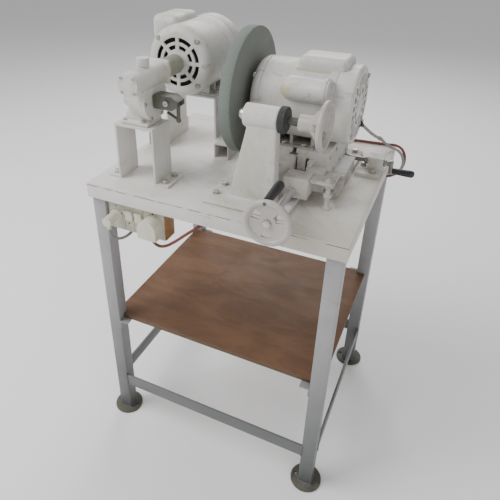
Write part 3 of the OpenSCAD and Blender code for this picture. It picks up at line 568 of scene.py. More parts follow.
# ---------------------------------------------------------------- geometry nodes
class Growth(Graph):
    """A geometry-node tree with named inputs, ending in real geometry with a material."""

    def __init__(self, name, **sizes):
        super().__init__(bpy.data.node_groups.new(name, "GeometryNodeTree"))
        new = self.tree.interface.new_socket
        new("Geometry", in_out="INPUT", socket_type="NodeSocketGeometry")
        new("Geometry", in_out="OUTPUT", socket_type="NodeSocketGeometry")
        self.ids = {}
        for label, value in sizes.items():
            kind = "NodeSocketInt" if isinstance(value, int) else "NodeSocketFloat"
            socket = new(label.replace("_", " "), in_out="INPUT", socket_type=kind)
            socket.default_value = value
            self.ids[label] = socket.identifier
        socket = new("Material", in_out="INPUT", socket_type="NodeSocketMaterial")
        self.ids["Material"] = socket.identifier
        self.source = self.tree.nodes.new("NodeGroupInput")

    def given(self, label):
        return Wire(self, self.source.outputs[label.replace("_", " ")])

    def drum(self, sides, radius, depth, base, top=None):
        """A drum standing on base, along Z."""
        if top is None:
            kind, values = "GeometryNodeMeshCylinder", {"Radius": radius}
        else:
            kind, values = "GeometryNodeMeshCone", {"Radius Bottom": radius, "Radius Top": top}
        mesh = self.add(kind, values={"Vertices": sides, "Depth": depth, **values})
        # a cone stands on its base and a cylinder is centred
        lift = base if top is not None else base + depth * 0.5
        shift = self.add("ShaderNodeCombineXYZ", values={2: lift})
        return self.add("GeometryNodeTransform", values={"Geometry": mesh, "Translation": shift})

    def stand_on_points(self, parts, points, rotation, scale=None):
        part = self.add("GeometryNodeJoinGeometry", values={0: parts}) if isinstance(parts, list) else parts
        values = {"Points": points, "Instance": part, "Rotation": rotation}
        if scale is not None:
            values["Scale"] = scale
        return self.add("GeometryNodeInstanceOnPoints", values=values)

    def close(self, geometry):
        solid = self.add("GeometryNodeRealizeInstances", values={0: geometry})
        coated = self.add("GeometryNodeSetMaterial", values={0: solid, "Material": self.given("Material")})
        end = self.tree.nodes.new("NodeGroupOutput")
        self.tree.links.new(coated.socket, end.inputs[0])

    def grow(self, name, points, directions, material, edges=(), **sizes):
        """Runs the tree on a cloud of points, each with a direction, and keeps the result."""
        mesh = bpy.data.meshes.new(name)
        mesh.from_pydata([tuple(p) for p in points], list(edges), [])
        pointing = mesh.attributes.new("pointing", "FLOAT_VECTOR", "POINT")
        for k, direction in enumerate(directions):
            pointing.data[k].vector = direction
        piece = link(name, mesh)
        modifier = piece.modifiers.new("grow", "NODES")
        modifier.node_group = self.tree
        for label, value in {**sizes, "Material": finish(material)}.items():
            modifier[self.ids[label]] = value
        return bake_modifiers(piece)


def pointing(tree):
    way = tree.add(
        "GeometryNodeInputNamedAttribute", {"data_type": "FLOAT_VECTOR"},
        {"Name": "pointing"}, output="Attribute"
    )
    return tree.add("FunctionNodeAlignRotationToVector", {"axis": "Z"}, {"Vector": way})


def bolt_tree():
    """A hexagon head on a washer, or a nut with its bolt's end standing out."""
    t = Growth("hexagon fasteners", Head_radius=0.0075, Head_height=0.0055, Washer_radius=0.0082,
               Washer_height=0.0016, Stud_radius=0.004, Stud_height=0.0)
    washer, head, height = t.given("Washer_height"), t.given("Head_radius"), t.given("Head_height")
    parts = [
        t.drum(32, t.given("Washer_radius"), washer, 0.0),
        t.drum(6, head, height * 0.86, washer),
        t.drum(6, head, height * 0.14, washer + height * 0.86, head * 0.86),
        t.drum(20, t.given("Stud_radius"), t.given("Stud_height") + 0.0002, washer + height),
    ]
    points = t.given("Geometry")
    t.close(t.stand_on_points(parts, points, pointing(t)))
    return t


def socket_screw_tree():
    """Small cap screws with a hexagon recess, for gibs and covers."""
    t = Growth("cap screws", Head_radius=0.003, Head_height=0.003, Recess=0.0015)
    head, height = t.given("Head_radius"), t.given("Head_height")
    parts = [
        t.drum(20, head, height * 0.8, 0.0),
        t.drum(20, head, height * 0.2, height * 0.8, head * 0.84),
        t.drum(6, t.given("Recess"), 0.0002, height),
    ]
    t.close(t.stand_on_points(parts, t.given("Geometry"), pointing(t)))
    return t


def weld_tree():
    """A row of overlapping weld ripples along the edges of a wire mesh."""
    t = Growth("weld beads", Pitch=0.003, Bead_radius=0.0026, Seed=7)
    curve = t.add("GeometryNodeMeshToCurve", values={0: t.given("Geometry")})
    path = t.add("GeometryNodeResampleCurve", {"mode": "LENGTH"},
                 {"Curve": curve, "Length": t.given("Pitch")})
    bead = t.add("GeometryNodeMeshIcoSphere", values={"Radius": t.given("Bead_radius"), "Subdivisions": 2})
    size = t.add("FunctionNodeRandomValue", {"data_type": "FLOAT"},
                 {2: 0.78, 3: 1.12, "Seed": t.given("Seed")}, 1)
    t.close(t.stand_on_points(bead, path, (0.0, 0.0, 0.0), size))
    return t


def knurl_tree():
    """Ribs round a ring: each rib is a slim rod that lies along the ring's axis."""
    t = Growth("knurled ribs", Rib_radius=0.0014, Rib_length=0.012)
    rib = t.drum(8, t.given("Rib_radius"), t.given("Rib_length"), 0.0)
    t.close(t.stand_on_points(rib, t.given("Geometry"), pointing(t)))
    return t


# ---------------------------------------------------------------- cords
def smooth_path(points_mm, step=0.006):
    """A Catmull-Rom line through the points, in metres, with one point about every step."""
    p = [Vector(q) * MM for q in points_mm]
    p = [p[0] * 2 - p[1]] + p + [p[-1] * 2 - p[-2]]
    line = [p[1]]
    for a, b, c, d in zip(p, p[1:], p[2:], p[3:]):
        pieces = max(2, round((c - b).length / step))
        for k in range(1, pieces + 1):
            t = k / pieces
            line.append(
                0.5 * (2 * b + (c - a) * t + (2 * a - 5 * b + 4 * c - d) * t * t
                    + (3 * b - a - 3 * c + d) * t ** 3)
            )
    return line


def path_length(line):
    return sum((b - a).length for a, b in zip(line, line[1:]))


def tube_along(name, line, radius, sides=12):
    """A round tube on a line of points, with closed ends and no twist."""
    bm = bmesh.new()
    side = Vector((0.36, 0.48, 0.8))
    rings = []
    for k, point in enumerate(line):
        way = (line[min(k + 1, len(line) - 1)] - line[max(k - 1, 0)]).normalized()
        side = (side - way * side.dot(way)).normalized()
        up = way.cross(side)
        rings.append([
            bm.verts.new(point
                             + (side * math.cos(math.tau * n / sides) + up * math.sin(math.tau * n / sides)) * radius)
            for n in range(sides)
        ])
    for low, high in zip(rings, rings[1:]):
        for n in range(sides):
            m = (n + 1) % sides
            bm.faces.new([low[n], low[m], high[m], high[n]])
    bm.faces.new(list(reversed(rings[0])))
    bm.faces.new(rings[-1])
    bmesh.ops.recalc_face_normals(bm, faces=bm.faces)
    return link(name, mesh_from(bm, name))


CORD_RADIUS = 3.5 * MM
RELIEF_LENGTH = 26 * MM
# the routes are in millimetres, from each motor to its plug
LEAD_JOINT = (272, 175, 815)
UPPER_ROUTE = [
    (246.5, 12, 905), (250, 28, 896), (256, 60, 876), (262, 95, 855), (268, 148, 828), LEAD_JOINT,
]
LOWER_ROUTE = [
    LEAD_JOINT, (276, 196, 803), (281, 214, 790), (289, 227, 779.5), (301, 232, 772.5),
    (316, 229, 768.5), (328, 222, 759),
    (334, 214, 745), (332, 206, 730), (323, 201, 719), (309, 200, 714.5),
    (294, 201, 716.5), (280, 202.5, 724),
    (268, 204, 735), (255, 205, 745.5), (240, 205, 751.5), (222, 205, 753), (160, 205, 753), (90, 205, 753),
    (20, 205, 753), (-50, 205, 753), (-120, 205, 753), (-160, 203, 753), (-187, 193, 753), (-204, 172, 753),
    (-210, 140, 753), (-210, 70, 753), (-210, 0, 753), (-210, -70, 753), (-210, -130, 753), (-210, -160, 750),
    (-210.5, -184, 738), (-211, -197, 717), (-213, -201, 692), (-215, -202, 667), (-217, -205, 650),
    (-219, -214, 636), (-223, -232, 627.5), (-228, -253, 628), (-233, -270, 636), (-237, -281, 650),
    (-238, -284, 669),
]
MOTOR1_ROUTE = [
    (-97.5, 130, 958), (-88, 131, 951), (-80, 134, 933), (-76, 140, 895), (-74, 150, 840), (-71, 162, 805),
    (-62, 177, 781), (-44, 194, 770.5), (-15, 210, 769), (40, 229, 769), (100, 240, 769), (160, 248, 769),
    (215, 254, 769), (262, 258, 769), (284, 259, 769.3), (303, 258, 771), (320, 253, 766.5), (331, 244, 755),
    (335, 233, 740), (332, 224, 724), (322, 215, 711), (307, 207, 704), (291, 199, 704), (276, 193, 711),
    (263, 188, 722), (251, 184, 735), (238, 181, 745.5), (220, 179, 752), (190, 176, 753), (158, 171, 753),
    (132, 155, 753), (111, 127, 753), (97, 94, 753), (82, 52, 753), (62, 0, 753), (45, -50, 753),
    (34, -100, 753), (27, -150, 753), (22, -185, 752), (12, -214, 745), (-3, -236, 730), (-22, -250, 713),
    (-48, -257, 691), (-74, -262, 668), (-93, -266, 654), (-109, -268, 648), (-122, -268, 650),
    (-131, -268, 659),
]


# ---------------------------------------------------------------- settings
class PaintSettings(bpy.types.PropertyGroup):
    white: FloatVectorProperty(name="Paint", description="Colour of the machine's paint", subtype="COLOR",
                               default=(0.72, 0.70, 0.675), min=0.0, max=1.0)
    stain: FloatVectorProperty(name="Stain", description="Colour of the yellowed patches", subtype="COLOR",
                               default=(0.56, 0.53, 0.42), min=0.0, max=1.0)


class EdgeSettings(bpy.types.PropertyGroup):
    sheet: FloatProperty(name="Plate edges", description="Rounding of plate and tube edges in millimetres",
                         default=0.7, min=0.1, max=2.0)
    machined: FloatProperty(name="Machined edges", description="Rounding of machined edges in millimetres",
                            default=0.5, min=0.1, max=2.0)
    casting: FloatProperty(name="Casting grain", description="Voxel size of the castings in millimetres",
                           default=1.6, min=1.0, max=4.0)
    soften: IntProperty(name="Casting rounds", description="How often the castings' corners are softened",
                        default=8, min=0, max=30)


class WeldSettings(bpy.types.PropertyGroup):
    pitch: FloatProperty(name="Pitch", description="Distance between weld ripples", subtype="DISTANCE",
                         default=3.0 * MM, min=1.0 * MM, max=10.0 * MM)
    radius: FloatProperty(name="Bead radius", description="Radius of a weld bead", subtype="DISTANCE",
                          default=2.4 * MM, min=0.5 * MM, max=5.0 * MM)


class StageSettings(bpy.types.PropertyGroup):
    floor: FloatVectorProperty(name="Floor", description="Colour of the floor", subtype="COLOR",
                               default=(0.93, 0.93, 0.93), min=0.0, max=1.0)
    key: FloatProperty(name="Key light", description="Power of the big soft light", subtype="POWER",
                       default=125.0, min=0.0)
    sky: FloatProperty(name="Surround",
                       description="Strength of the even light from all round", default=0.46, min=0.0)


class MachineOperator(bpy.types.Operator):
    bl_options = {"REGISTER", "UNDO"}


# ---------------------------------------------------------------- operators
class FACETING_OT_camera(MachineOperator):
    """Stands the camera in front, to the right and above the table"""

    bl_idname = "faceting.camera"
    bl_label = "Camera"

    def execute(self, context):
        camera = bpy.data.cameras.new("camera")
        camera.lens, camera.sensor_width = 36.87, 36.0
        camera.shift_x, camera.shift_y = 0.0634, -0.0816
        camera.clip_start, camera.clip_end = 0.05, 60.0
        holder = link("camera", camera)
        holder.location = (0.4286, -1.0794, 1.3078)
        holder.rotation_euler = [math.radians(a) for a in (59.78, 0.0, 25.82)]
        context.scene.camera = holder
        return {"FINISHED"}


class FACETING_OT_finishes(MachineOperator):
    """Makes every paint, metal, wood, plastic and rubber finish"""

    bl_idname = "faceting.finishes"
    bl_label = "Finishes"

    def execute(self, context):
        finishes(context.scene.faceting_paint)
        return {"FINISHED"}


class FACETING_OT_cords(MachineOperator):
    """Lays the two motor leads, their strain reliefs, the joint sleeve and the clips"""

    bl_idname = "faceting.cords"
    bl_label = "Cords and clips"

    def execute(self, context):
        for side in ("left", "right"):
            dress("plug_" + side, "pale plastic", 2.2, 4)
        dress("cable_clips", "pale plastic", 0.8)
        self.lay("motor1_cord", MOTOR1_ROUTE, "red sheath", "motor1_lead", "plug", ["plug_right_finished"])
        upper = self.lay("motor2_cord_upper", UPPER_ROUTE, "grey sheath", "motor2_lead_upper", None, [])
        lower = self.lay("motor2_cord_lower", LOWER_ROUTE, "grey sheath", "motor2_lead_lower", None, [])
        way = (Vector(LOWER_ROUTE[1]) - Vector(UPPER_ROUTE[-2])).normalized()
        joint = Vector(LEAD_JOINT) * MM
        sleeve_profile = [(-0.014, 0.0), (-0.014, 0.0037), (-0.011, 0.0050), (0.011, 0.0050),
                          (0.014, 0.0037), (0.014, 0.0)]
        sleeve = turned("lead_joint_sleeve", sleeve_profile, joint, way, 24)
        settle(sleeve, "grey sheath", "cross_slide")
        for piece, route, bodies, far_end, ends, others in (
            (upper, UPPER_ROUTE, ("wheel_slide", "cross_slide"), "connector", (20, 150), [sleeve]),
            (lower, LOWER_ROUTE, ("cross_slide", "frame"), "plug", (0, 110),
             [bpy.data.objects["plug_left_finished"]]),
        ):
            line = smooth_path(route)
            start, end = [self.after(line, along * MM) for along in ends]
            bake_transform(piece)
            path_length(line)
        self.relief("motor1_gland", MOTOR1_ROUTE, "frame")
        self.relief("motor2_gland", UPPER_ROUTE, "wheel_slide")
        return {"FINISHED"}

    def lay(self, name, route, material, node, far_end, others):
        line = smooth_path(route)
        piece = tube_along(name, line, CORD_RADIUS)
        piece.data.materials.append(finish(material))
        piece.data.polygons.foreach_set("use_smooth", [True] * len(piece.data.polygons))
        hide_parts(node)
        if far_end:
            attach(piece, "frame")
            path_length(line)
        return piece

    def relief(self, name, route, body):
        """A tapered rubber boot round the start of a cord."""
        start, way = Vector(route[0]) * MM, (Vector(route[1]) - Vector(route[0])).normalized()
        steps, inner = 5, CORD_RADIUS + 0.0002
        outer = [(-0.004, 0.0062), (0.0, 0.0062)]
        for k in range(steps):
            near, far = [(j / steps) * RELIEF_LENGTH * 0.5 for j in (k, k + 1)]
            width = 0.0058 - 0.0016 * k / steps
            outer += [(near + 0.0004, width), (far - 0.0006, width - 0.0002), (far - 0.0004, width - 0.0008)]
        boot = turned(name, outer + [(outer[-1][0], inner), (-0.004, inner)], start, way, 28)
        settle(boot, "black plastic", body)

    @staticmethod
    def after(line, distance):
        """The point that far along the line."""
        for a, b in zip(line, line[1:]):
            step = (b - a).length
            if distance <= step:
                return a + (b - a) * (distance / step)
            distance -= step
        return line[-1]


class FACETING_OT_table(MachineOperator):
    """Finishes the plate, angles, legs, feet and stretchers, and lays their welds"""

    bl_idname = "faceting.table"
    bl_label = "Table"

    def execute(self, context):
        edge = context.scene.faceting_edges.sheet
        dress("table_top", "table enamel", edge)
        dress("apron_rails", "table enamel", edge)
        for node, material in (("leg_tubes", "frame enamel"), ("foot_plates", "foot enamel"),
                               ("stretchers_and_cleats", "frame enamel")):
            dress(node, material, edge)
        self.weld(context.scene.faceting_welds)
        return {"FINISHED"}

    def weld(self, sizes):
        points, edges = [], []

        def run(*corners):
            first = len(points)
            points.extend(corners)
            edges.extend((first + k, first + k + 1) for k in range(len(corners) - 1))

        foot_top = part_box("foot_plates")[1].z
        apron_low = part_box("apron_rails")[0].z
        bars = lumps("stretchers_and_cleats")
        for low, high in lumps("leg_tubes"):
            ring = [(low.x, low.y), (high.x, low.y), (high.x, high.y), (low.x, high.y), (low.x, low.y)]
            run(*[(x, y, foot_top) for x, y in ring])
            inner_x = low.x if low.x > 0 else high.x
            inner_y = low.y if low.y > 0 else high.y
            outer_y = high.y if low.y > 0 else low.y
            run((inner_x, outer_y, apron_low), (inner_x, inner_y, apron_low))
        for low, high in bars:
            if high.z > 0.2:
                continue
            if high.x - low.x > high.y - low.y:
                for x in (low.x, high.x):
                    for y in (low.y, high.y):
                        run((x, y, low.z), (x, y, high.z))
            else:
                for y in (low.y, high.y):
                    for x in (low.x, high.x):
                        run((x, y, low.z), (x, y, high.z))
        beads = weld_tree().grow(
            "weld_beads", points, [(0, 0, 1)] * len(points), "frame enamel", edges,
            Pitch=sizes.pitch, Bead_radius=sizes.radius,
        )
        settle(beads, "frame enamel", "frame", crease=80.0)


class FACETING_OT_shelf(MachineOperator):
    """Finishes the plywood shelf"""

    bl_idname = "faceting.shelf"
    bl_label = "Shelf"

    def execute(self, context):
        dress("shelf_board", "shelf ply", 1.0)
        return {"FINISHED"}


class FACETING_OT_fasteners(MachineOperator):
    """Sets the hexagon bolts and nuts on the table, and the small screws"""

    bl_idname = "faceting.fasteners"
    bl_label = "Bolts, nuts and screws"

    def execute(self, context):
        heads, nuts = [], []
        for low, high in lumps("hex_bolts"):
            middle = (low + high) / 2
            heads.append((middle.x, middle.y, high.z - BOLT_HEAD_STACK))
            nuts.append((middle.x, middle.y, low.z + NUT_STACK))
        tree = bolt_tree()
        top = tree.grow("bolt_heads", heads, [(0, 0, 1)] * len(heads), "zinc")
        bottom = tree.grow(
            "bolt_nuts", nuts, [(0, 0, -1)] * len(nuts), "zinc", Head_height=6.0 * MM, Washer_height=0.5 * MM,
            Stud_height=2.0 * MM,
        )
        settle(top, "zinc", "frame", ["hex_bolts"], 30.0)
        settle(bottom, "zinc", "frame", (), 30.0)
        dress("small_screws", "zinc", 0.25, 1)
        dress("motor2_bolts", "zinc", 0.3, 1)
        return {"FINISHED"}


class FACETING_OT_gearbox(MachineOperator):
    """Casts the worm gearbox and bends its bracket"""

    bl_idname = "faceting.gearbox"
    bl_label = "Gearbox"

    def execute(self, context):
        edges = context.scene.faceting_edges
        dress("gearbox_bracket", "bracket enamel", 3.2, 4)
        cast("gearbox_housing", "cast enamel", edges.casting, edges.soften,
             "gearbox_casting", self.shoulders())
        dress("gearbox_covers", "cast enamel", 1.6, 3)
        for node in ("gearbox_bearings", "worm_shaft", "output_shaft"):
            coat(node, "bright steel")
        coat("worm_wheel", "bronze")
        return {"FINISHED"}

    def shoulders(self):
        """The solid shoulders between the barrel, the wheel case and the base."""
        low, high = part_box("gearbox_housing")
        barrel_z, barrel_x = high.z - 26 * MM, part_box("worm_shaft")[0].x + 11.5 * MM
        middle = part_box("work_head")[0].y + 15 * MM
        near, far = middle - 27 * MM, middle + 25 * MM
        left, base = low.x + 5 * MM, low.z + 6 * MM
        foot = prism("foot_lump", [(left, base), (barrel_x - 4 * MM, base),
                                  (barrel_x - 8 * MM, base + 20 * MM),
                                   (left + 20 * MM, base + 26 * MM), (left + 6 * MM, base + 24 * MM)],
                     near + 4 * MM, far - 4 * MM, "Y", 3.0)
        neck = prism("neck_lump", [(left + 12 * MM, barrel_z - 30 * MM), (left + 31 * MM, barrel_z - 30 * MM),
                                   (left + 34 * MM, barrel_z - 17 * MM), (left + 28 * MM, barrel_z - 4 * MM),
                                   (left + 20 * MM, barrel_z - 8 * MM)],
                     near + 2 * MM, far - 6 * MM, "Y", 3.0)
        side = 26.5 * MM
        square = [(barrel_x - side, barrel_z - side), (barrel_x + side, barrel_z - side),
                  (barrel_x + side, barrel_z + side), (barrel_x - side, barrel_z + side)]
        flange = prism("flange_lump", square, high.y - 9 * MM, high.y, "Y", 4.0)
        return [foot, neck, flange]


class FACETING_OT_work_head(MachineOperator):
    """Finishes the work head, its ring screw and its clamp lever"""

    bl_idname = "faceting.work_head"
    bl_label = "Work head"

    def execute(self, context):
        dress("work_head", "blackened steel", 1.4, 3)
        dress("head_screw", "bright steel", 0.4)
        dress("clamp_lever", "blackened steel", 0.5)
        dress("shaft_coupling", "olive rubber", 1.8, 4)
        return {"FINISHED"}


class FACETING_OT_motors(MachineOperator):
    """Wraps both motors, and adds their covers, seams and a blank rating plate on the second motor"""

    bl_idname = "faceting.motors"
    bl_label = "Motors"

    def execute(self, context):
        dress("motor1_stand", "bracket enamel", 2.2, 3)
        for motor, body, axis in (("motor1", "frame", "Y"), ("motor2", "wheel_slide", "X")):
            self.wrap(motor, body, axis)
            dress(motor + "_end_bells", "motor enamel", 0.9, 2)
            coat(motor + "_stator", "dark winding")
            coat(motor + "_rotor", "dark winding")
        shell_low, shell_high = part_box("motor2_shell")
        axis = (shell_low + shell_high) / 2
        plate = curved_plate("motor2_blank_plate", axis, (shell_high.z - shell_low.z) / 2 - 0.05 * MM,
                             (shell_low.x + 68 * MM, shell_low.x + 140 * MM), (26.6, 32), 0.5 * MM)
        settle(plate, "rating foil", "wheel_slide")
        dress("motor1_foot", "motor enamel", 0.8)
        dress("motor2_foot", "zinc", 0.8)
        dress("motor1_capacitor_cover", "motor enamel", 0.6)
        dress("motor2_capacitors", "stained enamel", 0.6)
        return {"FINISHED"}

    def wrap(self, motor, body, axis):
        """The rolled shell, with a rounded lip where it meets each bell."""
        low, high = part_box(motor + "_shell")
        k = "XYZ".index(axis)
        middle = (low + high) / 2
        radius = (high.z - low.z) / 2
        start, end, wall = low[k], high[k], 2.5 * MM
        way = Vector([float(n == k) for n in range(3)])
        at = middle.copy()
        at[k] = start
        span = end - start
        lips = [(0.0, -1.3), (1.3, -1.1), (2.2, -0.2), (3.4, 0.0)]
        outer = [(a * MM, radius + r * MM) for a, r in lips]
        outer += [(span - a * MM, radius + r * MM) for a, r in reversed(lips)]
        profile = outer + [(span, radius - wall), (0.0, radius - wall)]
        shell = turned(motor + "_wrap", profile, at, way, 120)
        settle(shell, "motor enamel" if motor == "motor1" else "stained enamel",
                   body, [motor + "_shell"])


class FACETING_OT_cross_slide(MachineOperator):
    """Finishes the slides, their screws, the gib screws and the jack"""

    bl_idname = "faceting.cross_slide"
    bl_label = "Cross slide"

    def execute(self, context):
        machined = context.scene.faceting_edges.machined
        for node in ("slide_base", "x_slide", "y_slide"):
            dress(node, "slide enamel", machined * 2.2, 2)
        dress("x_screw_block", "stained enamel", machined * 3, 3)
        dress("x_jack", "slide enamel", 0.8)
        dress("x_feed_screw", "greasy steel", 0.4)
        dress("y_feed_screw", "bright steel", 0.4)
        tree = socket_screw_tree()
        for node, body, rise, count in (("x_slide", "cross_slide", 0.45, 4),
                                      ("y_slide", "wheel_slide", 0.80, 4)):
            low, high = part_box(node)
            front = low.y if node == "y_slide" else low.y + 40 * MM
            ys = [front + (high.y - front) * (k + 0.5) / count for k in range(count)]
            z = low.z + (high.z - low.z) * rise
            points = [(high.x if node == "y_slide" else high.x, y, z) for y in ys]
            screws = tree.grow(node + "_gib_screws", points, [(1, 0, 0)] * count, "zinc",
                          Head_radius=3.4 * MM,
                               Head_height=2.6 * MM, Recess=1.7 * MM)
            settle(screws, "zinc", body, (), 30.0)
        return {"FINISHED"}


class FACETING_OT_handwheels(MachineOperator):
    """Finishes both handwheels, the crank and their grips"""

    bl_idname = "faceting.handwheels"
    bl_label = "Handwheels and grips"

    def execute(self, context):
        dress("y_handwheel", "handwheel enamel", 1.0, 3)
        dress("tail_handwheel", "handwheel enamel", 1.2, 3)
        dress("y_handwheel_grip", "black plastic", 0.8, 3)
        grip_low, grip_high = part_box("y_handwheel_grip")
        centre = (grip_low + grip_high) / 2
        rivet = socket_screw_tree().grow("grip_rivet",
                                          [(centre.x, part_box("y_handwheel")[0].y + 0.6 * MM, centre.z)],
                                         [(0, -1, 0)], "blackened steel", Head_radius=3.6 * MM, Head_height=1.4 * MM,
                                         Recess=1.6 * MM)
        settle(rivet, "blackened steel", "y_handwheel", (), 30.0)
        dress("x_crank_grip", "black plastic", 0.8, 3)
        return {"FINISHED"}


class FACETING_OT_grinding_wheel(MachineOperator):
    """Finishes the wheel, its flanges and nut"""

    bl_idname = "faceting.grinding_wheel"
    bl_label = "Grinding wheel"

    def execute(self, context):
        low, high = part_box("grinding_wheel")
        radius, thick = (high.z - low.z) / 2, high.x - low.x
        bore = 9.5 * MM
        corner = 1.2 * MM
        profile = [(0.0, bore), (0.0, radius - corner), (corner * 0.4, radius - corner * 0.35),
                   (corner, radius),
                   (thick - corner, radius), (thick - corner * 0.4, radius - corner * 0.35),
                   (thick, radius - corner), (thick, bore)]
        wheel = turned("wheel_stone", profile, (low.x, WHEEL_CENTRE[1], WHEEL_CENTRE[2]), (1, 0, 0), 160)
        settle(wheel, "grit", "wheel_spindle", ["grinding_wheel"], 50.0)
        dress("wheel_flanges", "greasy steel", 0.7)
        return {"FINISHED"}


class FACETING_OT_tailstock(MachineOperator):
    """Casts the column and finishes the quill, screw and knurled ring"""

    bl_idname = "faceting.tailstock"
    bl_label = "Tailstock"

    def execute(self, context):
        edges = context.scene.faceting_edges
        cast("tail_column", "cast enamel", edges.casting * 1.25, edges.soften, "tail_casting")
        dress("tail_quill", "bright steel", 0.5)
        dress("tail_feed_screw", "blackened steel", 0.4)
        self.ring()
        return {"FINISHED"}

    def ring(self):
        low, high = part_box("tail_lock_ring")
        middle = (low + high) / 2
        radius, bore = (high.z - low.z) / 2 - 0.9 * MM, 8.3 * MM
        length = high.x - low.x
        profile = [(0.0, bore), (0.0, radius - 1.5 * MM), (1.2 * MM, radius), (length - 3.4 * MM, radius),
                   (length - 2.0 * MM, radius - 1.5 * MM), (length - 2.0 * MM, 20 * MM), (length, 19.4 * MM),
                   (length, bore)]
        body = turned("lock_ring_body", profile, (low.x, middle.y, middle.z), (1, 0, 0), 72)
        settle(body, "ring plastic", "tail_lock_ring", ["tail_lock_ring"])
        angles = [math.tau * k / KNURL_RIBS for k in range(KNURL_RIBS)]
        reach = radius - 0.5 * MM
        points = [(low.x + 1.0 * MM, middle.y + reach * math.cos(a),
                  middle.z + reach * math.sin(a)) for a in angles]
        ribs = knurl_tree().grow("lock_ring_ribs", points, [(1, 0, 0)] * KNURL_RIBS,
                                 "ring plastic", Rib_radius=1.35 * MM,
                                 Rib_length=length - 4.4 * MM)
        settle(ribs, "ring plastic", "tail_lock_ring", (), 60.0)


class FACETING_OT_sockets(MachineOperator):
    """Finishes the socket box, its cover, the rockers and the small screws"""

    bl_idname = "faceting.sockets"
    bl_label = "Socket board"

    def execute(self, context):
        dress("socket_box", "box wood", 2.5, 3)
        dress("socket_plate", "cream plastic", 0.7, 2)
        for side in ("left", "right"):
            dress("rocker_" + side, "pale plastic", 1.0, 3)
        low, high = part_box("socket_plate")
        xs = [low.x + (high.x - low.x) * share for share in (0.16, 0.38, 0.55, 0.82)]
        points = [(x, low.y, z) for x in xs for z in (low.z + 7 * MM, high.z - 20 * MM)]
        screws = socket_screw_tree().grow("cover_screws", points, [(0, -1, 0)] * len(points), "zinc",
                                          Head_radius=2.0 * MM, Head_height=0.8 * MM, Recess=0.9 * MM)
        settle(screws, "zinc", "frame", (), 30.0)
        self.dark_openings(low, high)
        return {"FINISHED"}

    def dark_openings(self, low, high):
        """Lines the seams between the modules and the small openings over the sockets with black pieces: painted
        shade for the gaps and holes.
        """
        seams = [low.x + 45 * MM, low.x + 71 * MM, low.x + 97 * MM]
        # Painted shade: thin black strips in the gaps between the modules.
        strips = [prism("seam", [(x - 0.45 * MM, low.y + 0.5 * MM), (x + 0.45 * MM, low.y + 0.5 * MM),
                                 (x + 0.45 * MM, low.y + 1.1 * MM), (x - 0.45 * MM, low.y + 1.1 * MM)],
                        low.z + 1 * MM, high.z - 1 * MM, "Z") for x in seams]
        bm = bmesh.new()
        for strip in strips:
            bm.from_mesh(strip.data)
            bpy.data.objects.remove(strip)
        lines = link("socket_seams", mesh_from(bm, "socket_seams"))
        settle(lines, "black plastic", "frame")
        # Painted shade: flat black discs where the socket holes are.
        dots = [(seams[2] + dx, low.y, high.z - dz) for dx, dz in
                ((18 * MM, 14 * MM), (34 * MM, 14 * MM), (26 * MM, 24 * MM), (43 * MM, 60 * MM))]
        dots += [(low.x + dx, low.y, high.z - dz) for dx, dz in
                 ((23 * MM, 26 * MM), (38 * MM, 44 * MM),
                  (8 * MM, 44 * MM), (56 * MM, 66 * MM), (82 * MM, 66 * MM))]
        openings = socket_screw_tree().grow("socket_openings", dots,
                                                [(0, -1, 0)] * len(dots), "black plastic",
                                            Head_radius=2.1 * MM, Head_height=0.25 * MM, Recess=0.6 * MM)
        settle(openings, "black plastic", "frame", (), 30.0)


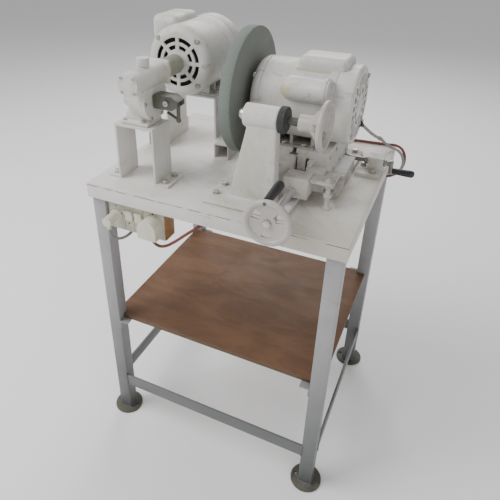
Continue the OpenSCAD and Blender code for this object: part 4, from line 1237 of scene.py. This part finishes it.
class FACETING_OT_stage(MachineOperator):
    """Lays a pale floor and hangs soft studio lights"""

    bl_idname = "faceting.stage"
    bl_label = "Floor and lights"

    def execute(self, context):
        settings = context.scene.faceting_stage
        material = floor_paint("floor", tuple(settings.floor))
        floor = prism("floor", [(-14, -14), (14, -14), (14, 14), (-14, 14)], -0.02, 0.0, "Z")
        floor.data.materials.append(material)
        centre = (CAD_BOX[0] + CAD_BOX[1]) / 2
        for name, place, power, size in (
            ("key", (-2.3, -1.5, 3.1), settings.key, 2.2),
            ("fill", (2.4, -2.4, 1.8), settings.key * 0.22, 2.6),
            ("back", (-0.6, 2.6, 2.9), settings.key * 0.55, 2.0),
        ):
            lamp = bpy.data.lights.new(name, "AREA")
            lamp.energy, lamp.size = power, size
            holder = link(name, lamp)
            holder.location = place
            holder.rotation_euler = (centre - Vector(place)).to_track_quat("-Z", "Y").to_euler()
        world = bpy.data.worlds.new("surround")
        world.use_nodes = True
        world.node_tree.nodes["Background"].inputs["Color"].default_value = (1.0, 1.0, 1.0, 1.0)
        world.node_tree.nodes["Background"].inputs["Strength"].default_value = settings.sky
        context.scene.world = world
        return {"FINISHED"}


class FACETING_PT_panel(bpy.types.Panel):
    """Lists the settings and the steps that build the machine"""

    bl_idname = "FACETING_PT_panel"
    bl_label = "Faceting machine"
    bl_space_type = "VIEW_3D"
    bl_region_type = "UI"
    bl_category = "Faceting"

    def draw(self, context):
        for group, _ in SETTINGS:
            settings = getattr(context.scene, group)
            box = self.layout.box()
            for name in settings.bl_rna.properties.keys():
                if name not in ("rna_type", "name"):
                    box.prop(settings, name)
        for step in STEPS:
            self.layout.operator(step.bl_idname)


SETTINGS = (
    ("faceting_paint", PaintSettings),
    ("faceting_edges", EdgeSettings),
    ("faceting_welds", WeldSettings),
    ("faceting_stage", StageSettings),
)
STEPS = (
    FACETING_OT_camera, FACETING_OT_finishes, FACETING_OT_cords, FACETING_OT_table, FACETING_OT_shelf,
    FACETING_OT_fasteners, FACETING_OT_gearbox, FACETING_OT_work_head, FACETING_OT_motors,
    FACETING_OT_cross_slide, FACETING_OT_handwheels, FACETING_OT_grinding_wheel, FACETING_OT_tailstock,
    FACETING_OT_sockets, FACETING_OT_stage,
)


def register():
    for name, group in SETTINGS:
        bpy.utils.register_class(group)
        setattr(bpy.types.Scene, name, PointerProperty(type=group))
    for step in STEPS:
        bpy.utils.register_class(step)
    bpy.utils.register_class(FACETING_PT_panel)


def unregister():
    bpy.utils.unregister_class(FACETING_PT_panel)
    for step in reversed(STEPS):
        bpy.utils.unregister_class(step)
    for name, group in reversed(SETTINGS):
        delattr(bpy.types.Scene, name)
        bpy.utils.unregister_class(group)


def main():
    register()
    for step in STEPS:
        getattr(bpy.ops.faceting, step.bl_idname.split(".")[1])()


if __name__ == "__main__":
    main()
